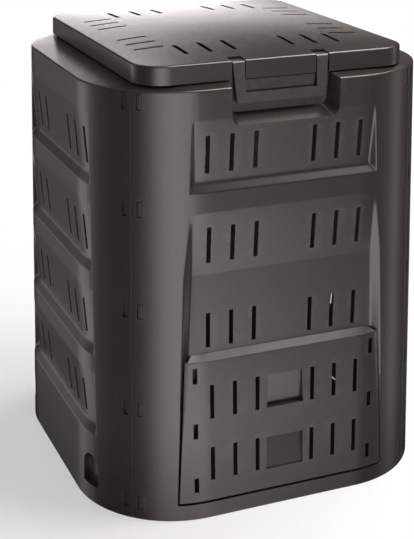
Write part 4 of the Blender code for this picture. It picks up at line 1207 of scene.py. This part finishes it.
def makeDoor():
    back = bay["plane"] + hooks["gap"]
    hookStart = bay["hatchHalf"] + hooks["inset"]
    bottom, top, play = door["bottom"], door["top"], door["play"]

    def box(bm, inset, depth, backPlane):
        low, high = bottom + inset, top - inset
        backHigh = high + door["topFall"] - inset
        rows = [mirrored(doorFaceRow(z, door["boxFront"] - inset, depth)) for z in (low, high)]
        behind = []
        for row, z in zip(rows, (low, backHigh)):
            share = (door["boxBack"] - inset) / row[-1].x
            behind.append([Vector((p.x * share, -backPlane, z)) for p in row])
        addSlab(bm, rows, behind)

    def rounded(z):
        return quarterFall(top - z, door["topRound"])
    stripStart, stripEnd = door["stripStart"], top - door["topRound"]
    lowSteps, stripSteps = door["lowSteps"], door["stripSteps"]
    heights = [between(bottom, stripStart, i / lowSteps) for i in range(lowSteps + 1)]
    heights += [between(stripStart, stripEnd, i / stripSteps) for i in range(1, stripSteps + 1)]
    heights += [top - door["topRound"] * share for share in roundShares]
    bm = bmesh.new()
    addSlab(bm, [doorSkinRow(z, rounded(z)) for z in heights], [doorSkinRow(z, door["skin"]) for z in heights])
    obj = meshObject("compost_door_skin", bm)

    def grips(bm, grow):
        # two finger pockets, one deep at its top and one at its foot
        deepest = door["gripDepth"] + grow
        start = door["skin"] / 2 if grow else -cutOverrun
        for gripTop, deepLow in zip(door["gripTops"], (True, False)):
            heights = (gripTop - door["gripHeight"] - grow, gripTop + grow)
            depths = (deepest, door["gripEdge"]) if deepLow else (door["gripEdge"], deepest)
            halves = (door["gripHalf"], door["gripNarrow"] if deepLow else door["gripHalf"])
            face, floor = [], []
            for z, half, deep in zip(heights, halves, depths):
                for rows, y in ((face, start), (floor, deep)):
                    rows.append([Vector((x, y - halfOut(frontSpec, z), z)) for x in (-half - grow, half + grow)])
            addSlab(bm, face, floor)

    def cuts(bm):
        grips(bm, 0.0)
        for slotTop in door["slotTops"]:
            low = slotTop - slots["length"]
            for x in frontSpec["slotPlaces"]:
                addBlock(bm, (x - slots["width"] / 2, -halfOut(frontSpec, low) - cutOverrun, low),
                         (x + slots["width"] / 2, door["gripDepth"] - halfOut(frontSpec, slotTop), slotTop))
        for centre in hookCentres():
            low, high = span(centre, door["windowHeight"])
            out = halfOut(frontSpec, centre)
            for side in (-1, 1):
                near, far = span(side * door["windowCentre"], door["windowWidth"])
                addBlock(bm, (near, -out - cutOverrun, low), (far, door["skin"] + 2 * cutOverrun - out, high))
    passages = bothSides(hookStart - play, hookStart + hooks["reach"] + play)
    passageFar = bay["plane"] + 3 * hooks["gap"] + hooks["lip"] + hooks["head"] + play
    lips = bothSides(hookStart + hooks["stem"] + play, door["boxBack"] - door["flange"] / 2)
    carve(obj, "UNION", box, 0.0, door["skin"] - door["boxSink"], back)
    carve(obj, "DIFFERENCE", box, door["flange"], door["skin"], back - cutOverrun)
    carve(obj, "DIFFERENCE", addBlocks, passages, (-passageFar, bottom - cutOverrun),
          (cutOverrun - back, bottom + door["passageHeight"]))
    carve(obj, "UNION", addBlocks, lips, (-back - hooks["lip"], bottom + door["flange"]),
          (-back, top - door["flange"] / 2))
    carve(obj, "UNION", grips, door["flange"])
    carve(obj, "DIFFERENCE", cuts)
    easeEdges(obj, door["ease"])
    finishPiece(obj, "door", plastics["door"], ["compost_door"])


# the front wall, the lid, the latch and the door use each other's measures, so they are built here
makeFrontWall(frontSpec)
makeLid()
makeLatch()
makeDoor()


# hinge pins: round rods with a domed head

pin = {
    "radius": 0.0025, "headRadius": 0.0048, "headLength": 0.0022, "play": 0.0004,
    "tipBreak": 0.0005, "headBreak": 0.0003, "domeSteps": 6, "sides": 32,
}


def makePin(name, node, side):
    tip = -(hinge["knuckle"] + hinge["gap"]) / 2 - hinge["ear"]
    start = pin["play"] - tip
    dome = start + pin["headBreak"]
    profile = [(tip, 0.0), (tip, pin["radius"] - pin["tipBreak"]), (tip + pin["tipBreak"], pin["radius"]),
               (start, pin["radius"]), (start, pin["headRadius"] - pin["headBreak"]), (dome, pin["headRadius"])]
    for i in range(1, pin["domeSteps"]):
        turn = quarterTurn * i / pin["domeSteps"]
        reach = pin["headLength"] - pin["headBreak"]
        profile.append((dome + reach * sin(turn), pin["headRadius"] * cos(turn)))
    profile.append((start + pin["headLength"], 0.0))
    bm = bmesh.new()
    count = pin["sides"]
    rings = []
    for x, radius in profile:
        turns = [2 * pi * i / count for i in range(count if radius else 1)]
        rings.append([bm.verts.new((x * side, radius * cos(turn), radius * sin(turn))) for turn in turns])
    for near, far in zip(rings, rings[1:]):
        for i in range(count):
            j = (i + 1) % count
            corners = (near[i % len(near)], near[j % len(near)], far[j % len(far)], far[i % len(far)])
            bm.faces.new(list(dict.fromkeys(corners)))
    obj = meshObject(name, bm)
    obj.data.transform(Matrix.Translation((side * hinge["spread"], hinge["out"], hinge["height"])))
    finishPiece(obj, "bin", plastics["pin"], [node])


makePin("left_hinge_pin", "hinge_pin_left", -1)
makePin("right_hinge_pin", "hinge_pin_right", 1)


# pale floor, background and lamps

studio = {
    "floorSize": 16.0, "floorSteps": 16, "floorRoughness": 0.55,
    "floorColour": (0.92, 0.92, 0.92, 1),
    "paintedShadeUnderBin": (0.020, 0.017, 0.014, 1),
    "binHalf": 0.345, "binSquareness": 4,       # the paper under the open base is painted dark, as painted shade inside the bin
    # how white the paper looks to the camera: at the bin's left and right, and how far out it is all white; this
    # glow is painted light, stronger at the bin's right so that no shade shows there
    "glowLeft": 0.47, "glowRight": 0.98, "glowStart": 0.50, "glowEnd": 1.3,
    "shadeEnd": 0.75, "shadeLevel": 0.44,       # painted shade: paper close to the bin is mirrored darker, up to this distance
    "fill": 0.30,
    # how bright the studio looks to glossy faces, by degrees round it from the bin's front, plus to the right
    "ringPeak": 4.6, "ringTint": (1.0, 0.957, 0.954, 1),
    "ring": (
        (-180, 0.03), (-170, 0.06), (-160, 0.28), (-150, 1.15), (-138, 1.45), (-128, 0.85), (-115, 0.38),
        (-95, 0.28), (-75, 0.28), (-62, 0.32), (-52, 0.62), (-42, 1.8), (-28, 4.2), (-10, 4.6), (2, 3.9),
        (12, 2.1), (22, 0.80), (28, 0.34), (38, 0.30), (62, 0.34), (72, 0.60), (82, 1.35), (92, 0.26),
        (105, 0.05), (150, 0.10), (180, 0.03)),
    "ringRise": 0.45, "ringHigh": 0.35,         # it fades to this share at this height
    # brighter paper in front of the bin, by height, then fading behind it and to both sides
    "lowLevel": 6.5, "lowHeights": (-0.29, -0.50),
    "lowFades": (("Y", (-0.35, -0.70), (0.0, 1.0)), ("X", (0.02, 0.28), (0.0, 1.0)),
                 ("X", (0.31, 0.43), (1.0, 0.0))),
    # a bright sheet behind the bin, which ends short of what the left wall mirrors
    "backdropAxis": (0.190, 0.979, -0.070), "backdropEdge": 0.927, "backdropCore": 0.992, "backdropLevel": 3.9,
    "backdropLeft": 0.04, "backdropRight": 0.16,
    "lampTint": (1.0, 0.965, 0.950),
    "lamps": (
        # name, place, aim, size, power
        ("keyLamp", (1.5, 0.7, 3.1), (0.0, 0.0, 0.4), (1.4, 1.4), 58.0),
        ("topPanel", (0.9, -0.65, 2.7), (0.0, -0.3, 0.4), (0.8, 1.5), 50.0),
    ),
    "insideLamp": (0.0, 0.0, 0.45), "insidePower": 1.6, "insideRadius": 0.12,
}


def seenRays(tree):
    # 1 for the camera's rays, and for the rays in a mirror or through glass that carry the background on
    ray = addNode(tree, "ShaderNodeLightPath").outputs
    carried = maths(tree, "MAXIMUM", ray["Is Glossy Ray"], ray["Is Transmission Ray"])
    return maths(tree, "MAXIMUM", ray["Is Camera Ray"], carried), ray["Is Camera Ray"]


def addRing(tree, sides):
    # strength by angle round the studio
    ahead = maths(tree, "MULTIPLY", sides["Y"], -1.0)
    turn = maths(tree, "ARCTAN2", sides["X"], ahead)
    share = remap(tree, turn, -pi, pi, 0.0, 1.0)
    ramp = addNode(tree, "ShaderNodeValToRGB")
    stops = ramp.color_ramp.elements
    while len(stops) < len(studio["ring"]):
        stops.new(1.0)
    for stop, (degrees, strength) in zip(stops, studio["ring"]):
        stop.position = (degrees + 180) / 360
        level = strength / studio["ringPeak"]
        stop.color = (level, level, level, 1)
    tree.links.new(share, ramp.inputs["Fac"])
    return maths(tree, "MULTIPLY", ramp.outputs["Color"], studio["ringPeak"])


def makeFloor():
    half, steps = studio["floorSize"] / 2, studio["floorSteps"]
    bm = bmesh.new()
    marks = [between(-half, half, i / steps) for i in range(steps + 1)]
    addSheet(bm, [[Vector((x, y, 0.0)) for x in marks] for y in marks])
    floor = meshObject("floor", bm)
    material = bpy.data.materials.new("floorPaper")
    material.use_nodes = True
    tree = material.node_tree
    paper = tree.nodes["Principled BSDF"]
    paper.inputs["Roughness"].default_value = studio["floorRoughness"]
    glow = addNode(tree, "ShaderNodeEmission")
    coords = objectCoords(tree)
    length = addNode(tree, "ShaderNodeVectorMath", operation="LENGTH")
    tree.links.new(coords, length.inputs[0])
    sides = separate(tree, coords)
    # painted light: the paper glows more at the bin's right than at its left
    near = remap(tree, sides["X"], -studio["binHalf"], studio["binHalf"], studio["glowLeft"], studio["glowRight"])
    far = remap(tree, length.outputs["Value"], studio["glowStart"], studio["glowEnd"], near, 1.0)
    # the bin's base is a rounded square: the powers of both distances add up to that of its half width
    across, along = [maths(tree, "POWER", maths(tree, "ABSOLUTE", sides[axis]), studio["binSquareness"])
                     for axis in ("X", "Y")]
    spread = maths(tree, "ADD", across, along)
    outside = maths(tree, "GREATER_THAN", spread, studio["binHalf"] ** studio["binSquareness"])
    # painted shade: inside the base's rounded square the paper takes a dark colour
    tree.links.new(mixColour(tree, outside, studio["paintedShadeUnderBin"], studio["floorColour"]),
                   paper.inputs["Base Color"])
    lit = maths(tree, "MULTIPLY", maths(tree, "MULTIPLY", seenRays(tree)[0], far), outside)
    shown = mixShaders(tree, lit, paper.outputs[0], glow.outputs[0])
    # glossy faces see the studio round the bin instead of the paper
    clear = addNode(tree, "ShaderNodeBsdfTransparent")
    # painted shade: what glossy faces see through the paper is darker close to the bin
    reach = maths(tree, "POWER", spread, 1 / studio["binSquareness"])
    shade = remap(tree, reach, studio["binHalf"], studio["shadeEnd"], studio["shadeLevel"], 1.0)
    tree.links.new(shade, clear.inputs["Color"])
    glossy = addNode(tree, "ShaderNodeLightPath").outputs["Is Glossy Ray"]
    final = mixShaders(tree, maths(tree, "MULTIPLY", glossy, outside), shown, clear.outputs[0])
    tree.links.new(final, tree.nodes["Material Output"].inputs["Surface"])
    layOut(tree)
    floor.data.materials.append(material)


def makeWorld():
    world = bpy.data.worlds.new("studio")
    world.use_nodes = True
    tree = world.node_tree
    plain = tree.nodes["Background"]
    plain.inputs["Color"].default_value = (1, 1, 1, 1)
    plain.inputs["Strength"].default_value = studio["fill"]
    direction = addNode(tree, "ShaderNodeTexCoord").outputs["Generated"]
    sides = separate(tree, direction)
    facing = addNode(tree, "ShaderNodeVectorMath", operation="DOT_PRODUCT")
    tree.links.new(direction, facing.inputs[0])
    facing.inputs[1].default_value = studio["backdropAxis"]
    backdrop = remap(tree, facing.outputs["Value"], studio["backdropEdge"], studio["backdropCore"], 0.0,
                     studio["backdropLevel"])
    seenLeft = remap(tree, sides["X"], studio["backdropLeft"], studio["backdropRight"], 0.0, 1.0)
    backdrop = maths(tree, "MULTIPLY", backdrop, seenLeft)
    rise = remap(tree, sides["Z"], 0.0, studio["ringRise"], 1.0, studio["ringHigh"])
    room = maths(tree, "MULTIPLY", addRing(tree, sides), rise)
    below = remap(tree, sides["Z"], *studio["lowHeights"], 0.0, studio["lowLevel"])
    for axis, ends, levels in studio["lowFades"]:
        below = maths(tree, "MULTIPLY", below, remap(tree, sides[axis], *ends, *levels))
    room = maths(tree, "ADD", maths(tree, "ADD", room, below), backdrop)
    seen, camera = seenRays(tree)
    white = addNode(tree, "ShaderNodeBackground")
    level = addNode(tree, "ShaderNodeMix", data_type="FLOAT")
    for socket, value in ((level.inputs["Factor"], camera), (level.inputs[2], room), (level.inputs[3], 1.0)):
        giveInput(tree, socket, value)
    tree.links.new(level.outputs[0], white.inputs["Strength"])
    tree.links.new(mixColour(tree, camera, studio["ringTint"], (1, 1, 1, 1)), white.inputs["Color"])
    tree.links.new(mixShaders(tree, seen, plain.outputs[0], white.outputs[0]),
                   tree.nodes["World Output"].inputs["Surface"])
    layOut(tree)
    scene.world = world


def makeLamps():
    def addLamp(name, kind, place, power):
        data = bpy.data.lights.new(name, kind)
        data.energy = power
        lamp = bpy.data.objects.new(name, data)
        lamp.location = place
        lamp.visible_camera = False
        scene.collection.objects.link(lamp)
        return lamp
    for name, place, aim, size, power in studio["lamps"]:
        lamp = addLamp(name, "AREA", place, power)
        lamp.data.shape = "RECTANGLE"
        lamp.data.size, lamp.data.size_y = size
        lamp.data.color = studio["lampTint"]
        lamp.rotation_euler = (Vector(place) - Vector(aim)).to_track_quat("Z", "Y").to_euler()
    # a little light inside, so that the slots aren't black
    inside = addLamp("insideLamp", "POINT", studio["insideLamp"], studio["insidePower"])
    inside.data.shadow_soft_size = studio["insideRadius"]
    inside.visible_glossy = False


makeFloor()
makeWorld()
makeLamps()
scene.view_settings.view_transform = "Standard"
print("studio lit")
